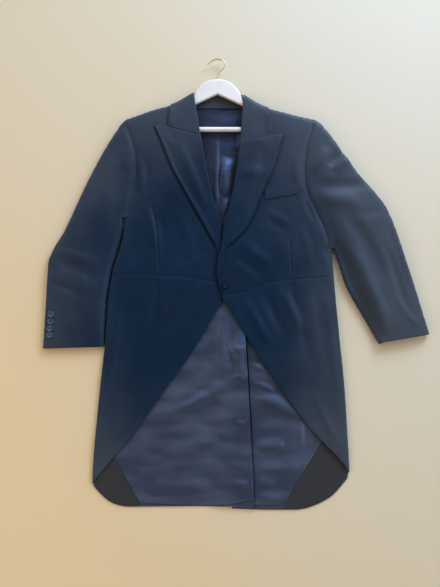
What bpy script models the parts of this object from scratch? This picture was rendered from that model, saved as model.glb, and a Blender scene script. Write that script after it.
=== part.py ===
"""A morning coat laid flat on its back with a wooden hanger inside its shoulders.

The coat is worked out in its own millimetres: y runs up it from the waist, z up from the surface it lies
on, and most tables give a distance OUT from the centre back line, which is to the wearer's right for
RIGHT and to the left for LEFT. Every piece is a flat cut, filled with triangles, given its wall and laid in
place: over the hanger, round the side folds, over the shoulders, or on the face of the piece beneath it.
"""

import math
from collections import namedtuple

import bmesh
import bpy
from mathutils import Vector
from mathutils.geometry import delaunay_2d_cdt

# Walls and clearances, mm
CLOTH = 2.2
LINING = 1.0
FACING = 1.2
SEAM_GAP = 0.3
LAY_GAP = 0.6
GRID = 30.0
TIE = 3.0
RIGHT, LEFT = -1, 1

# What one row of each table holds
Side = namedtuple("Side", "y reach")
Height = namedtuple("Height", "y centre middle side")
Edge = namedtuple("Edge", "y out")
Shoulder = namedtuple("Shoulder", "out y")
Ring = namedtuple(
    "Ring", "v outer_x outer_y outer_turn inner_x inner_y inner_turn outer_high inner_high crown"
)
Fold = namedtuple("Fold", "x0 y0 x1 y1 width high")

# How far out each side fold lies, up to the armpit
SIDE_FOLD = {
    RIGHT: [
        Side(-560, 320), Side(-479, 318.5), Side(-410, 315), Side(-325, 307), Side(-225, 297),
        Side(-141, 287.5), Side(-33, 280), Side(62, 264.5), Side(94, 252.5), Side(150, 239.5),
        Side(180, 238),
    ],
    LEFT: [
        Side(-560, 324), Side(-456, 322.8), Side(-364, 318), Side(-322, 315.5), Side(-238, 309.8),
        Side(-124, 298), Side(-9, 286.8), Side(87, 279), Side(104, 278),
    ],
}
ARMPIT_Y = {RIGHT: 180.0, LEFT: 104.0}
ARMPIT_DIP = {RIGHT: 8.0, LEFT: 4.0}

# Height of the front's outer face at the centre, halfway out and at the side
HEIGHT_REACH = 285.0
HEIGHTS = {
    RIGHT: [
        Height(-560, 7, 8.5, 9), Height(-350, 8, 9.5, 10), Height(-200, 8.5, 10.5, 11),
        Height(-60, 9, 11.5, 12), Height(20, 9, 12.5, 13), Height(110, 10, 13, 13.5),
        Height(180, 12.5, 14.5, 14), Height(260, 16.5, 17.5, 16.5), Height(330, 20, 20.4, 19.5),
        Height(375, 22.2, 22.4, 21.8), Height(560, 22.4, 22.4, 22),
    ],
    LEFT: [
        Height(-560, 8, 9.5, 10), Height(-350, 9, 10.5, 11), Height(-200, 10, 12, 12.5),
        Height(-60, 12.5, 13.5, 14), Height(20, 15, 15, 15.5), Height(110, 16.8, 16.5, 18),
        Height(180, 17.5, 17.5, 18.5), Height(260, 19, 19, 19), Height(330, 20.8, 20.8, 20.5),
        Height(375, 22.2, 22.4, 21.8), Height(560, 22.4, 22.4, 22),
    ],
}

# The line of the shoulders, from the neck out to the sleeve
SHOULDER = {
    RIGHT: [
        Shoulder(40, 500), Shoulder(67, 487), Shoulder(115, 460.5), Shoulder(169, 445),
        Shoulder(209, 430.5), Shoulder(231, 423.5), Shoulder(290, 399),
    ],
    LEFT: [
        Shoulder(40, 493), Shoulder(58, 482.5), Shoulder(105, 455.5), Shoulder(168, 437.5),
        Shoulder(210, 427), Shoulder(231, 423), Shoulder(300, 404.5),
    ],
}
ARMHOLE = {
    RIGHT: [
        Edge(180, 231), Edge(190, 229), Edge(216, 222), Edge(252, 212), Edge(281, 206.5),
        Edge(311, 206.5), Edge(341, 209.5), Edge(375, 219.5), Edge(400, 229.5), Edge(412, 231),
        Edge(480, 231),
    ],
    LEFT: [
        Edge(104, 269), Edge(125, 268), Edge(146, 263), Edge(170, 252), Edge(199, 237),
        Edge(230, 222), Edge(262, 213), Edge(300, 211), Edge(349.5, 215), Edge(392, 228),
        Edge(412, 231), Edge(480, 231),
    ],
}

# Where the lapels and collar roll over, and the front edge below them
ROLL_LINE = {
    RIGHT: [
        Edge(-40, -10), Edge(20, -14), Edge(50, -12), Edge(100, -8), Edge(152, -3), Edge(181, 3),
        Edge(267, 26), Edge(387, 48.5), Edge(457, 60), Edge(483, 64), Edge(520, 68),
    ],
    LEFT: [
        Edge(-30, 7), Edge(-5, 3.8), Edge(20, -5), Edge(50, -8.8), Edge(80, -5), Edge(107, 2.5),
        Edge(145, 7.5), Edge(180, 11), Edge(195, 19), Edge(281, 37.5), Edge(381, 50.5),
        Edge(451, 55.5), Edge(487, 58), Edge(520, 60),
    ],
}
ROLL_UNDER = 8.0
NECK_GAP = 1.0
ROLL_END = {RIGHT: 60.0, LEFT: 36.0}

# Each lapel's outer edge from its foot to the peak, then back along the notch and the seam to the collar
LAPEL_EDGE = {
    RIGHT: [(2, 72), (10, 107.5), (30, 145), (63, 203.5), (115, 298), (144, 368), (156, 395)],
    LEFT: [
        (4, 44), (8.8, 60), (10, 90), (17.5, 105), (62.5, 150), (82.5, 190), (110, 255),
        (132.5, 305), (145, 350), (150.5, 372),
    ],
}
LAPEL_TOP = {
    RIGHT: [(162.5, 405.5), (129, 403), (109, 396), (72, 388)],
    LEFT: [(157.5, 382.5), (126.5, 381), (93, 371), (72, 366)],
}
GORGE_END = {RIGHT: 383.0, LEFT: 361.0}
COLLAR_EDGE = {
    RIGHT: [(127.5, 404), (127.5, 416), (126, 434), (122.5, 449)],
    LEFT: [(124.5, 381.5), (127.5, 395), (127.5, 412), (120.5, 441)],
}
COLLAR_WRAP = 110.0

# The collar behind the neck: its fold seen from above, in true x, and where its stand and leaf end
COLLAR_FOLD_Y = [Shoulder(-66, 490.5), Shoulder(-30, 489.5), Shoulder(20, 486.5), Shoulder(60, 486.5)]
COLLAR_HALF = (2 * CLOTH + 2.8) / 2
STAND_Y, LEAF_Y = 451.5, 454.6
COLLAR_BACK_X = (-63.4, 57.2)

# The skirts: cutaway edge on top, then round the fold and on along the under layer to the hem
CUTAWAY = {
    RIGHT: [
        (-5, -29), (61.5, -141.5), (131, -239), (191.5, -325), (248, -396), (294.5, -451.5),
        (309, -470),
    ],
    LEFT: [
        (7.5, -25), (22.5, -43), (45.8, -81.8), (82, -142.8), (149, -242.5), (198.8, -311),
        (246.5, -368), (297, -419), (313, -440),
    ],
}
FOLD_FOOT = {RIGHT: -481.0, LEFT: -453.0}
TAIL_CORNER = {
    RIGHT: [(309, -497), (303.5, -503), (285, -521), (266.8, -532.5), (240, -540.5)],
    LEFT: [(318, -470), (306.5, -484), (280, -513), (246.5, -533), (215, -545)],
}
HEM = {RIGHT: -541.0, LEFT: -548.5}
WAIST_SEAM = {
    RIGHT: [(-14, 17), (20, 20), (50, 25), (90, 32), (160, 36), (250, 38)],
    LEFT: [(5.6, -15.5), (17.5, -12.5), (62.5, -5), (122.5, 17.5), (172.5, 25), (250, 31)],
}
WAIST_UNDER = {RIGHT: 38.0, LEFT: 32.0}

# Seam between the back and its side panel, on the under layer
SIDE_BACK_SEAM = {
    RIGHT: [
        Edge(-560, 222.8), Edge(-350, 222), Edge(-200, 200), Edge(-60, 166), Edge(40, 152),
        Edge(140, 158), Edge(230, 176), Edge(285, 192), Edge(319.9, 206.2),
    ],
    LEFT: [
        Edge(-560, 193), Edge(-350, 191), Edge(-200, 182), Edge(-60, 160), Edge(40, 150),
        Edge(140, 156), Edge(230, 174), Edge(285, 194), Edge(321, 211.7),
    ],
}
BACK_SEAM_STOP = {RIGHT: 4, LEFT: 3}
BODY_UNDER = 4.0
SEAM_STEP = 15

# The right tail lies over the left one inside the vent, as the right lining does in the pleat above
VENT_EDGE = [
    Edge(-560, 88), Edge(-521, 87), Edge(-363, 80), Edge(-225, 73), Edge(-105, 65), Edge(40, 35),
    Edge(187, 10), Edge(367, -1.3), Edge(460, -2),
]
VENT_TOP = -62.0
VENT_LIFT = CLOTH + LINING + SEAM_GAP + 0.4
VENT_RISE_Y = (-40, -60)
VENT_RAMP = 24.0
LEFT_TAIL_EDGE = 30.0
PLEAT_LIFT = LINING + SEAM_GAP + 0.15
PLEAT_UNDER = 18.0
NECK_Y = 454.0
RIGHT_LINING = [
    (87, -521), (20, -534), (-50, -537), (-200, -531), (-245, -451), (-266, -414), (-264, -340),
    (-215, -262), (-150, -165), (-80, -55), (-60, 30), (-100, 110), (-104, 430), (-66, 450.5),
    (-2, 450.5),
]
LEFT_LINING = [
    (156, -536), (205, -458), (252, -381), (258, -330), (210, -255), (145, -160), (100, -85),
    (80, 0), (104, 110), (104, 425), (62, 450.5), (-20, 450.5),
]
RIGHT_FACING = [
    (201.5, -537), (240, -537.5), (266, -529.5), (284, -518.5), (301.5, -501.5), (307.5, -492),
    (309, -470), (305, -440), (268, -413), (247, -450.5),
]
LEFT_FACING = [
    (157.5, -545), (214, -542), (245, -530.5), (278, -511), (304, -482.5), (313, -467),
    (311, -440), (300, -410), (254, -380), (207, -457.5),
]

# Soft folds broad enough to be felt, by the surface they lie on, in true x
LINING_FOLDS = {
    RIGHT: [
        Fold(-150, -392, 42, -245, 15, 2.2), Fold(-95, -440, 55, -345, 14, 1.8),
        Fold(-110, -500, -15, -462, 12, 1.5), Fold(2, -125, 20, -225, 14, 2.0),
    ],
    LEFT: [
        Fold(88, -160, 120, -182, 8, 1.8), Fold(90, -205, 130, -232, 8, 2.0),
        Fold(94, -262, 170, -312, 12, 2.4), Fold(100, -380, 160, -366, 11, 1.8),
        Fold(102, -440, 172, -452, 13, 1.6),
    ],
}
FRONT_FOLDS = {
    RIGHT: [
        Fold(-176, 232, -156, 100, 14, 2.2), Fold(-130, -20, -180, -190, 20, 1.6),
        Fold(-226, 30, -250, -200, 20, 1.5),
    ],
    LEFT: [
        Fold(112, 196, 166, 148, 15, 2.2), Fold(140, 4, 205, -125, 18, 2.4),
        Fold(226, 230, 236, 60, 19, 2.0), Fold(70, -40, 112, -120, 15, 1.5),
    ],
}
SLEEVE_FOLDS = {
    RIGHT: [
        Fold(-262, 330, -300, 190, 24, 2.4), Fold(-330, 180, -345, -40, 26, 2.2),
        Fold(-400, 62, -300, 22, 22, 1.8),
    ],
    LEFT: [
        Fold(240, 222, 352, 226, 24, 4.0), Fold(296, 160, 410, 196, 26, 2.6),
        Fold(330, 60, 450, 105, 26, 2.4), Fold(365, -5, 455, -90, 28, 2.6),
    ],
}

# Cross rings down each sleeve, v 0 at the armhole and 1 at the cuff: the two folds seen from above, the
# way each faces in degrees, and the heights
RINGS = {
    RIGHT: [
        Ring(0.00, 231, 423.5, 90, 238, 180.3, 0, 22, 14, 0.0),
        Ring(0.02, 243, 414.5, 58, 243.5, 175, -60, 21.5, 14, 0.5),
        Ring(0.05, 255, 397, 40, 242.3, 170.5, -130, 21, 14, 1.2),
        Ring(0.12, 283, 354, 31, 241.6, 148.8, -168, 20, 14, 2.2),
        Ring(0.28, 333, 261, 26, 254.6, 98, -165, 17, 14.5, 3.0),
        Ring(0.46, 388, 143, 26, 267.2, 62, -162, 16, 15, 3.0),
        Ring(0.56, 426.5, 74, 18, 274.5, 24, -170, 15.5, 15, 2.6),
        Ring(0.70, 432.5, -20, 3, 282.2, -28, -172, 14.5, 14.5, 2.2),
        Ring(0.85, 437, -90, 4, 286.8, -90, -176, 13.5, 14, 1.6),
        Ring(1.00, 441, -145, 5, 289.5, -141.5, -178, 12.5, 13, 1.0),
    ],
    LEFT: [
        Ring(0.00, 231, 423, 90, 278, 104.3, 0, 22, 18, 0.0),
        Ring(0.02, 247, 416, 60, 284, 98, -65, 22, 18.5, 0.5),
        Ring(0.05, 260, 401, 45, 282.5, 96, -125, 22, 19, 1.4),
        Ring(0.12, 282, 374, 38, 284.5, 90, -149, 22, 20, 3.0),
        Ring(0.28, 341, 291.5, 40, 289.3, 79, -156, 21, 21, 4.0),
        Ring(0.44, 408, 214, 36, 299.2, 47, -162, 20, 22, 4.0),
        Ring(0.54, 433, 159, 21, 308.5, 17, -156, 20, 22, 4.0),
        Ring(0.68, 461, 75, 18, 324.5, -15, -149, 19, 22, 3.6),
        Ring(0.82, 486, 2, 18, 348.5, -55, -149, 18, 21.5, 3.0),
        Ring(0.92, 506, -63, 17, 372.5, -96, -151, 17, 20.5, 2.4),
        Ring(1.00, 520.5, -109, 17, 394, -134.5, -150, 16, 19.5, 1.6),
    ],
}
SLEEVE_COLUMNS = 10
ARMHOLE_FADES = 0.45
BODY_FADES = 0.12

# Breast pocket and buttons
WELT = [(110, 223), (192, 237), (192.5, 261), (111, 247.5)]
WELT_WALL = 1.5
WAIST_BUTTON = (15.0, 13.0)
WAIST_BUTTON_HALF, CUFF_BUTTON_HALF, BUTTON_THICK, BUTTON_GAP = 10.0, 7.5, 3.0, 0.45
CUFF_BUTTONS = [(0.07, 0.779), (0.07, 0.82), (0.07, 0.862), (0.075, 0.905)]

# Hanger, its outline given from its own centre
HANGER_X, HANGER_LOW, HANGER_THICK = -6.0, 7.7, 12.0
HEAD_Y, HEAD_RADIUS, CROTCH_Y = 460.0, 61.0, 484.0
HEAD_FROM, HEAD_TO = 26.0, 90.0
ARM_UNDER = [(57, 458), (140, 421), (165.6, 409), (165.6, 388), (190, 384)]
ARM_TIP = [(208, 391), (215, 402), (214, 411)]
ARM_TOP_CLEAR = 12.0
BAR_Y, BAR_RADIUS, BAR_HALF = 397.5, 5.9, 165.1
HOOK_RADIUS = 1.7
HOOK_PATH = [
    (-6.5, 521.5), (-6.5, 530), (-3.5, 538), (3, 543.5), (10, 549.5), (13, 557.5), (10.5, 565.5),
    (2.5, 570.5), (-7.5, 571.8), (-17.5, 569.5), (-25, 564), (-30.5, 557.5),
]
WOOD_BEVEL = 2.4

# How many pattern millimetres a half turn takes, round a body fold and round a lapel's roll
ARC, ROLL_ARC = 30.0, 12.0
ROLL_HALF = CLOTH + LAY_GAP / 2

# The part's own origin is under the middle of its box
ORIGIN = Vector((41.5, 12.5, 0))

NAVY = (0.012, 0.026, 0.055)
DARK = (0.02, 0.022, 0.026)
SATIN = (0.045, 0.06, 0.115)
WOOD = (0.82, 0.81, 0.77)
BRASS = (0.78, 0.66, 0.38)


def ease(t):
    """0 to 1 with no corner at either end."""
    t = min(max(t, 0.0), 1.0)
    return t * t * (3 - 2 * t)


def mix(a, b, t):
    return a + (b - a) * t


def share_of(value, start, end):
    """How far a value has come from start to end, 0 to 1."""
    return min(max((value - start) / (end - start), 0), 1)


def read(table, column, at):
    """A table's column at a value of its first one, on a smooth curve with no overshoot."""
    keys = [row[0] for row in table]
    values = [getattr(row, column) for row in table]
    at = min(max(at, keys[0]), keys[-1])
    i = max(k for k in range(len(keys) - 1) if keys[k] <= at)

    def secant(k):
        return (values[k + 1] - values[k]) / (keys[k + 1] - keys[k])

    def slope(k):
        if k == 0 or k == len(keys) - 1:
            return secant(min(k, len(keys) - 2))
        low, high = secant(k - 1), secant(k)
        return 0.0 if low * high <= 0 else 2 * low * high / (low + high)

    span = keys[i + 1] - keys[i]
    t = (at - keys[i]) / span
    start, end = slope(i) * span, slope(i + 1) * span
    rise = values[i + 1] - values[i]
    return values[i] + t * start + t * t * (3 * rise - 2 * start - end) + t**3 * (start + end - 2 * rise)


def curve(points, steps=3):
    """Points along a smooth curve through the given ones."""
    made = []
    for i in range(len(points) - 1):
        a, b = Vector(points[i]), Vector(points[i + 1])
        before = Vector(points[i - 1]) if i else 2 * a - b
        after = Vector(points[i + 2]) if i + 2 < len(points) else 2 * b - a
        # Tangents no longer than the span keep uneven spacing from looping
        span = (b - a).length
        leave = (b - before).normalized() * span
        reach = (after - a).normalized() * span
        for k in range(steps):
            t = k / steps
            made.append(
                a + leave * t + (3 * (b - a) - 2 * leave - reach) * t * t
                + (leave + reach - 2 * (b - a)) * t**3
            )
    made.append(Vector(points[-1]))
    return made


def between(low, high, step):
    """Even stops from low to high, no further apart than step."""
    count = max(1, math.ceil(abs(high - low) / step - 1e-6))
    return [low + (high - low) * k / count for k in range(count + 1)]


def stops(first, last, step):
    """The two ends and every whole step between them, so that neighbours meet corner to corner."""
    low, high = sorted((first, last))
    inner = [k * step for k in range(math.ceil(low / step), math.floor(high / step) + 1)]
    made = [low] + [at for at in inner if low + 2 < at < high - 2] + [high]
    return made if first < last else made[::-1]


def spaced(points, step, closed):
    """The same line with extra points so that none are further apart than step."""
    made = []
    count = len(points) if closed else len(points) - 1
    for i in range(count):
        a, b = Vector(points[i]), Vector(points[(i + 1) % len(points)])
        parts = max(1, math.ceil((b - a).length / step - 1e-6))
        made += [a.lerp(b, k / parts) for k in range(parts)]
    if not closed:
        made.append(Vector(points[-1]))
    return made


def inside(outline, point):
    """Whether a point lies within a closed outline."""
    found = False
    for a, b in zip(outline, outline[1:] + outline[:1]):
        if (a.y > point.y) != (b.y > point.y):
            if point.x < a.x + (point.y - a.y) / (b.y - a.y) * (b.x - a.x):
                found = not found
    return found


def tie(rim, outer, inner):
    """The corner of the rim where a line crosses it, a new one where none is near."""
    for _ in range(24):
        middle = (outer + inner) / 2
        outer, inner = (outer, middle) if inside(rim, middle) else (middle, inner)
    near = min(rim, key=lambda p: (p - inner).length)
    if (near - inner).length < TIE:
        return near

    def detour(k):
        a, b = rim[k], rim[(k + 1) % len(rim)]
        return (a - inner).length + (b - inner).length - (a - b).length

    rim.insert(min(range(len(rim)), key=detour) + 1, inner)
    return inner


def trimmed(rim, line, step):
    """The runs of a line that lie within the rim, each tied to it at its ends."""
    fine, marked = [], []
    for a, b in zip(line, line[1:]):
        parts = spaced([a, b], 4, False)[:-1]
        fine += parts
        marked += [True] + [False] * (len(parts) - 1)
    fine.append(line[-1])
    marked.append(True)
    within = [inside(rim, p) for p in fine]
    runs = []
    k = 0
    while k < len(fine):
        if not within[k]:
            k += 1
            continue
        first = k
        while k + 1 < len(fine) and within[k + 1]:
            k += 1
        run = [tie(rim, fine[first - 1], fine[first])] if first else []
        last = [tie(rim, fine[k + 1], fine[k])] if k + 1 < len(fine) else []
        for i in range(first, k + 1):
            clear = min((fine[i] - q).length for q in rim + last + run[-1:]) > TIE
            if clear and (marked[i] or not run or (fine[i] - run[-1]).length > step):
                run.append(fine[i])
        run += last
        if len(run) > 1:
            runs.append(run)
        k += 1
    return runs


def fill(outline, lines=(), step=GRID, rim_step=None):
    """Triangles that fill a flat outline, with corners along the given lines and on an even grid."""
    rim = spaced(outline, rim_step or step, True)
    runs = [run for line in lines for run in trimmed(rim, [Vector(p) for p in line], step)]
    points = list(rim)
    edges = [(i, (i + 1) % len(rim)) for i in range(len(rim))]
    for run in runs:
        edges += [(len(points) + k, len(points) + k + 1) for k in range(len(run) - 1)]
        points += run
    low = Vector((min(p.x for p in rim), min(p.y for p in rim)))
    high = Vector((max(p.x for p in rim), max(p.y for p in rim)))
    placed = list(points)
    for row in range(int((high.y - low.y) / step) + 1):
        for column in range(int((high.x - low.x) / step) + 2):
            point = Vector((low.x + (column + 0.5 * (row % 2)) * step, low.y + (row + 0.5) * step))
            if min((point - p).length for p in placed) > 0.62 * step and inside(rim, point):
                points.append(point)
    corners, _, faces, _, _, _ = delaunay_2d_cdt(points, edges, [], 1, 0.02)
    return [tuple(c) for c in corners], [list(face) for face in faces]


def lattice(columns, rows):
    """Quads on every column and row of a grid."""
    points = [(u, v) for v in rows for u in columns]
    wide = len(columns)
    faces = [
        [j * wide + i, j * wide + i + 1, (j + 1) * wide + i + 1, (j + 1) * wide + i]
        for j in range(len(rows) - 1) for i in range(wide - 1)
    ]
    return points, faces


def metres(point):
    return (Vector(point) - ORIGIN) / 1000


def material(name, colour, roughness, metallic=0.0):
    made = bpy.data.materials.new(name)
    made.use_nodes = True
    shader = made.node_tree.nodes["Principled BSDF"]
    shader.inputs["Base Color"].default_value = (*colour, 1)
    shader.inputs["Roughness"].default_value = roughness
    shader.inputs["Metallic"].default_value = metallic
    made.diffuse_color = (*colour, 1)
    return made


def add_object(name, bm, colour, roughness=0.9, metallic=0.0):
    """One finished, closed piece, faces turned out."""
    bmesh.ops.triangulate(bm, faces=bm.faces[:])
    bmesh.ops.recalc_face_normals(bm, faces=bm.faces[:])
    mesh = bpy.data.meshes.new(name)
    bm.to_mesh(mesh)
    bm.free()
    mesh.shade_smooth()
    mesh.materials.append(material(name, colour, roughness, metallic))
    made = bpy.data.objects.new(name, mesh)
    bpy.context.scene.collection.objects.link(made)
    return made


def add_slab(name, flat, place, colour, roughness=0.9):
    """A piece with a wall: place(u, v, 0) is its outer face and place(u, v, 1) its inner one."""
    points, faces = flat
    used = sorted({i for face in faces for i in face})
    bm = bmesh.new()
    outer = {i: bm.verts.new(metres(place(*points[i], 0))) for i in used}
    inner = {i: bm.verts.new(metres(place(*points[i], 1))) for i in used}
    sides = {(a, b) for face in faces for a, b in zip(face, face[1:] + face[:1])}
    for face in faces:
        bm.faces.new([outer[i] for i in face])
        bm.faces.new([inner[i] for i in reversed(face)])
    for a, b in sides:
        if (b, a) not in sides:
            bm.faces.new([outer[b], outer[a], inner[a], inner[b]])
    return add_object(name, bm, colour, roughness)


def rise(folds, x, y):
    """How high the soft folds stand at a place."""
    total = 0.0
    for fold in folds:
        start, along = Vector((fold.x0, fold.y0)), Vector((fold.x1 - fold.x0, fold.y1 - fold.y0))
        t = min(max((Vector((x, y)) - start).dot(along) / along.length_squared, 0), 1)
        away = (start + along * t - Vector((x, y))).length
        total += fold.high * (1 - ease(away / fold.width)) * math.sin(math.pi * t) ** 0.7
    return total


def fold_lines(folds):
    """The crest and both feet of each soft fold, to run the triangles along."""
    lines = []
    for fold in folds:
        a, b = Vector((fold.x0, fold.y0)), Vector((fold.x1, fold.y1))
        across = Vector((b.y - a.y, a.x - b.x)).normalized() * fold.width
        lines += [[a, b], [a.lerp(b, 0.1) + across, a.lerp(b, 0.9) + across],
                  [a.lerp(b, 0.1) - across, a.lerp(b, 0.9) - across]]
    return lines


def mirrored(side, lines):
    """Lines given in true x, as distances out on a side."""
    return [[Vector((side * p[0], p[1])) for p in line] for line in lines]


def top(side, out, y):
    """Height of the front's outer face."""
    share = min(max(out / HEIGHT_REACH, 0), 1)
    table = HEIGHTS[side]
    centre, middle, edge = (read(table, column, y) for column in ("centre", "middle", "side"))
    smooth = (
        centre * (1 - share) * (1 - 2 * share) + 4 * middle * share * (1 - share)
        + edge * share * (2 * share - 1)
    )
    return smooth + rise(FRONT_FOLDS[side], side * out, y)


def side_start(side, y):
    """Where the side fold begins to turn, and its radius."""
    reach = read(SIDE_FOLD[side], "reach", y)
    radius = top(side, reach - 6, y) / 2
    return reach - radius, radius


def shoulder_start(side, out):
    """Where the shoulder begins to turn, and its radius."""
    line = read(SHOULDER[side], "y", out)
    radius = top(side, out, line - 11) / 2
    return line - radius, radius


def turn(along, start, radius, off):
    """Run a flat distance round a half turn and back beneath: where it comes to, and its height."""
    if along <= start + ARC:
        angle = (along - start) / ARC * math.pi
        return start + (radius + off) * math.sin(angle), radius + (radius + off) * math.cos(angle)
    return start - (along - start - ARC), -off


def body(side, out, y, off):
    """A point off the front's outer face, carried round the side fold and over the shoulder."""
    if y <= ARMPIT_Y[side] + 0.01:
        start, radius = side_start(side, y)
        if out > start:
            across, high = turn(out, start, radius, off)
            return side * across, y, high
    elif y > 380:
        start, radius = shoulder_start(side, out)
        if y > start:
            along, high = turn(y, start, radius, off)
            return side * out, along, high
    return side * out, y, top(side, out, y) + off


def body_wall(side):
    return lambda out, y, inner: body(side, out, y, -CLOTH * inner)


def roll(side, y):
    """Where the flat of a lapel or collar begins, out from the line it rolls over."""
    return read(ROLL_LINE[side], "out", y) + ROLL_HALF


def rolled(side):
    """Lay a lapel or collar leaf on the front, its inner edge turned down round the roll and under."""

    def place(out, y, inner):
        flat = roll(side, y)
        wall = CLOTH * inner
        if out >= flat:
            return body(side, out, y, LAY_GAP + CLOTH - wall)
        if out >= flat - ROLL_ARC:
            angle = (flat - out) / ROLL_ARC * math.pi
            reach = flat - (ROLL_HALF - wall) * math.sin(angle)
            return body(side, reach, y, LAY_GAP / 2 + (ROLL_HALF - wall) * math.cos(angle))
        return body(side, flat + (flat - ROLL_ARC - out), y, -CLOTH + wall)

    return place


def roll_lines(side, low, high):
    """Lines along the roll, to run the triangles along."""
    return [
        [(roll(side, y) - ROLL_ARC * k / 4, y) for y in stops(low, high, SEAM_STEP)] for k in range(5)
    ]


def side_lines(side, low, high):
    return [
        [(side_start(side, y)[0] + ARC * k / 4, y) for y in stops(low, high, 2 * SEAM_STEP)]
        for k in range(5)
    ]


def shoulder_lines(side, low, high):
    return [
        [(out, shoulder_start(side, out)[0] + ARC * k / 4) for out in stops(low, high, SEAM_STEP)]
        for k in range(5)
    ]


def armhole(side, first, last):
    """The armhole seam between two of its stops, on the body's side of its gap."""
    way = 1 if last > first else -1
    points = [armhole_point(side, k / SLEEVE_COLUMNS) for k in range(first, last + way, way)]
    return [(p.x - SEAM_GAP, p.y) for p in points]


def seam_corner(side):
    """Where the shoulder seam beneath meets the armhole."""
    first, second = (Vector(p) for p in armhole(side, 0, 1))
    return first.lerp(second, (BODY_UNDER + SEAM_GAP) / (first.y - second.y))


def front_neck(side):
    """How far out the front's neck edge has come where it ends beneath the shoulder."""
    out = roll(side, 478) + ROLL_UNDER + NECK_GAP
    for _ in range(6):
        end = shoulder_start(side, out)[0] + ARC + BODY_UNDER
        out = roll(side, end) + ROLL_UNDER + NECK_GAP
    return out, end


def front_outline(side):
    """The front from its edge at the waist, up to the neck, over the shoulder and down the armhole."""
    edge = []
    waist = WAIST_SEAM[side][0][1] + SEAM_GAP / 2
    foot = ROLL_END[side]
    edge += [(read(ROLL_LINE[side], "out", y), y) for y in stops(waist, foot - SEAM_GAP, SEAM_STEP)]
    neck = front_neck(side)[1]
    edge += [
        (roll(side, y) + ROLL_UNDER + NECK_GAP, y)
        for y in stops(foot - SEAM_GAP, neck, SEAM_STEP)
    ]
    last = edge[-1][0]
    seam = read(ARMHOLE[side], "out", 440) - SEAM_GAP
    over = [
        (out, shoulder_start(side, out)[0] + ARC + BODY_UNDER)
        for out in stops(last, seam, SEAM_STEP)[1:-1]
    ]
    start = shoulder_start(side, seam)[0]
    over += [(seam_corner(side).x, start + ARC + BODY_UNDER), (seam, start + ARC)]
    pit = ARMPIT_Y[side]
    down = armhole(side, 0, SLEEVE_COLUMNS)
    down[-1] = (down[-1][0], pit)
    start = side_start(side, pit)[0]
    dip = ARMPIT_DIP[side]
    round_pit = [
        (start + ARC * k / 4, pit - dip * math.sin(math.pi * k / 4)) for k in range(1, 5)
    ]
    low = WAIST_UNDER[side] + SEAM_GAP / 2
    under = [
        (side_start(side, y)[0] + ARC + BODY_UNDER, y) for y in stops(pit, low, SEAM_STEP)
    ]
    seam_up = [(x, y + SEAM_GAP / 2) for x, y in curve(WAIST_SEAM[side])]
    across = [(side_start(side, low)[0] + ARC * k / 4, low) for k in (4, 3, 2, 1, 0)]
    return edge + over + down + round_pit + under + across + seam_up[::-1][:-1]


def skirt_outline(side):
    """The skirt from the waist seam, round the side fold, to the back seam, hem and cutaway edge."""
    seam = [(x, y - SEAM_GAP / 2) for x, y in curve(WAIST_SEAM[side])]
    low = WAIST_UNDER[side] - SEAM_GAP / 2
    across = [(side_start(side, low)[0] + ARC * k / 4, low) for k in range(5)]

    def under(x, y):
        return 2 * side_start(side, y)[0] + ARC - x, y

    back = [
        under(read(SIDE_BACK_SEAM[side], "out", y) + SEAM_GAP / 2, y)
        for y in stops(low, HEM[side], SEAM_STEP)
    ]
    corner = [under(x, y) for x, y in curve(TAIL_CORNER[side])[::-1]]
    foot = FOLD_FOOT[side]
    start = side_start(side, foot)[0]
    turned = [(start + ARC * 0.8, foot - 3), (start + ARC * 0.5, foot), (start + ARC * 0.2, foot + 3)]
    edge = curve(CUTAWAY[side])[::-1]
    return seam + across + back + corner + turned + edge


def add_fronts():
    for side, name in ((RIGHT, "right"), (LEFT, "left")):
        pit = ARMPIT_Y[side]
        lines = side_lines(side, WAIST_UNDER[side], pit)
        lines += shoulder_lines(side, 60, 240)
        lines += mirrored(side, fold_lines(FRONT_FOLDS[side]))
        flat = fill(front_outline(side), lines)
        add_slab(f"front_{name}", flat, body_wall(side), NAVY)
        lines = side_lines(side, HEM[side], WAIST_UNDER[side])
        lines += mirrored(side, fold_lines(FRONT_FOLDS[side]))
        flat = fill(skirt_outline(side), lines)
        add_slab(f"skirt_{name}", flat, body_wall(side), NAVY)


def flat_plate(low, wall, side=LEFT):
    """Lay a piece level, its points given as distances out on a side."""
    return lambda x, y, inner: (side * x, y, low + wall * inner)


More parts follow.
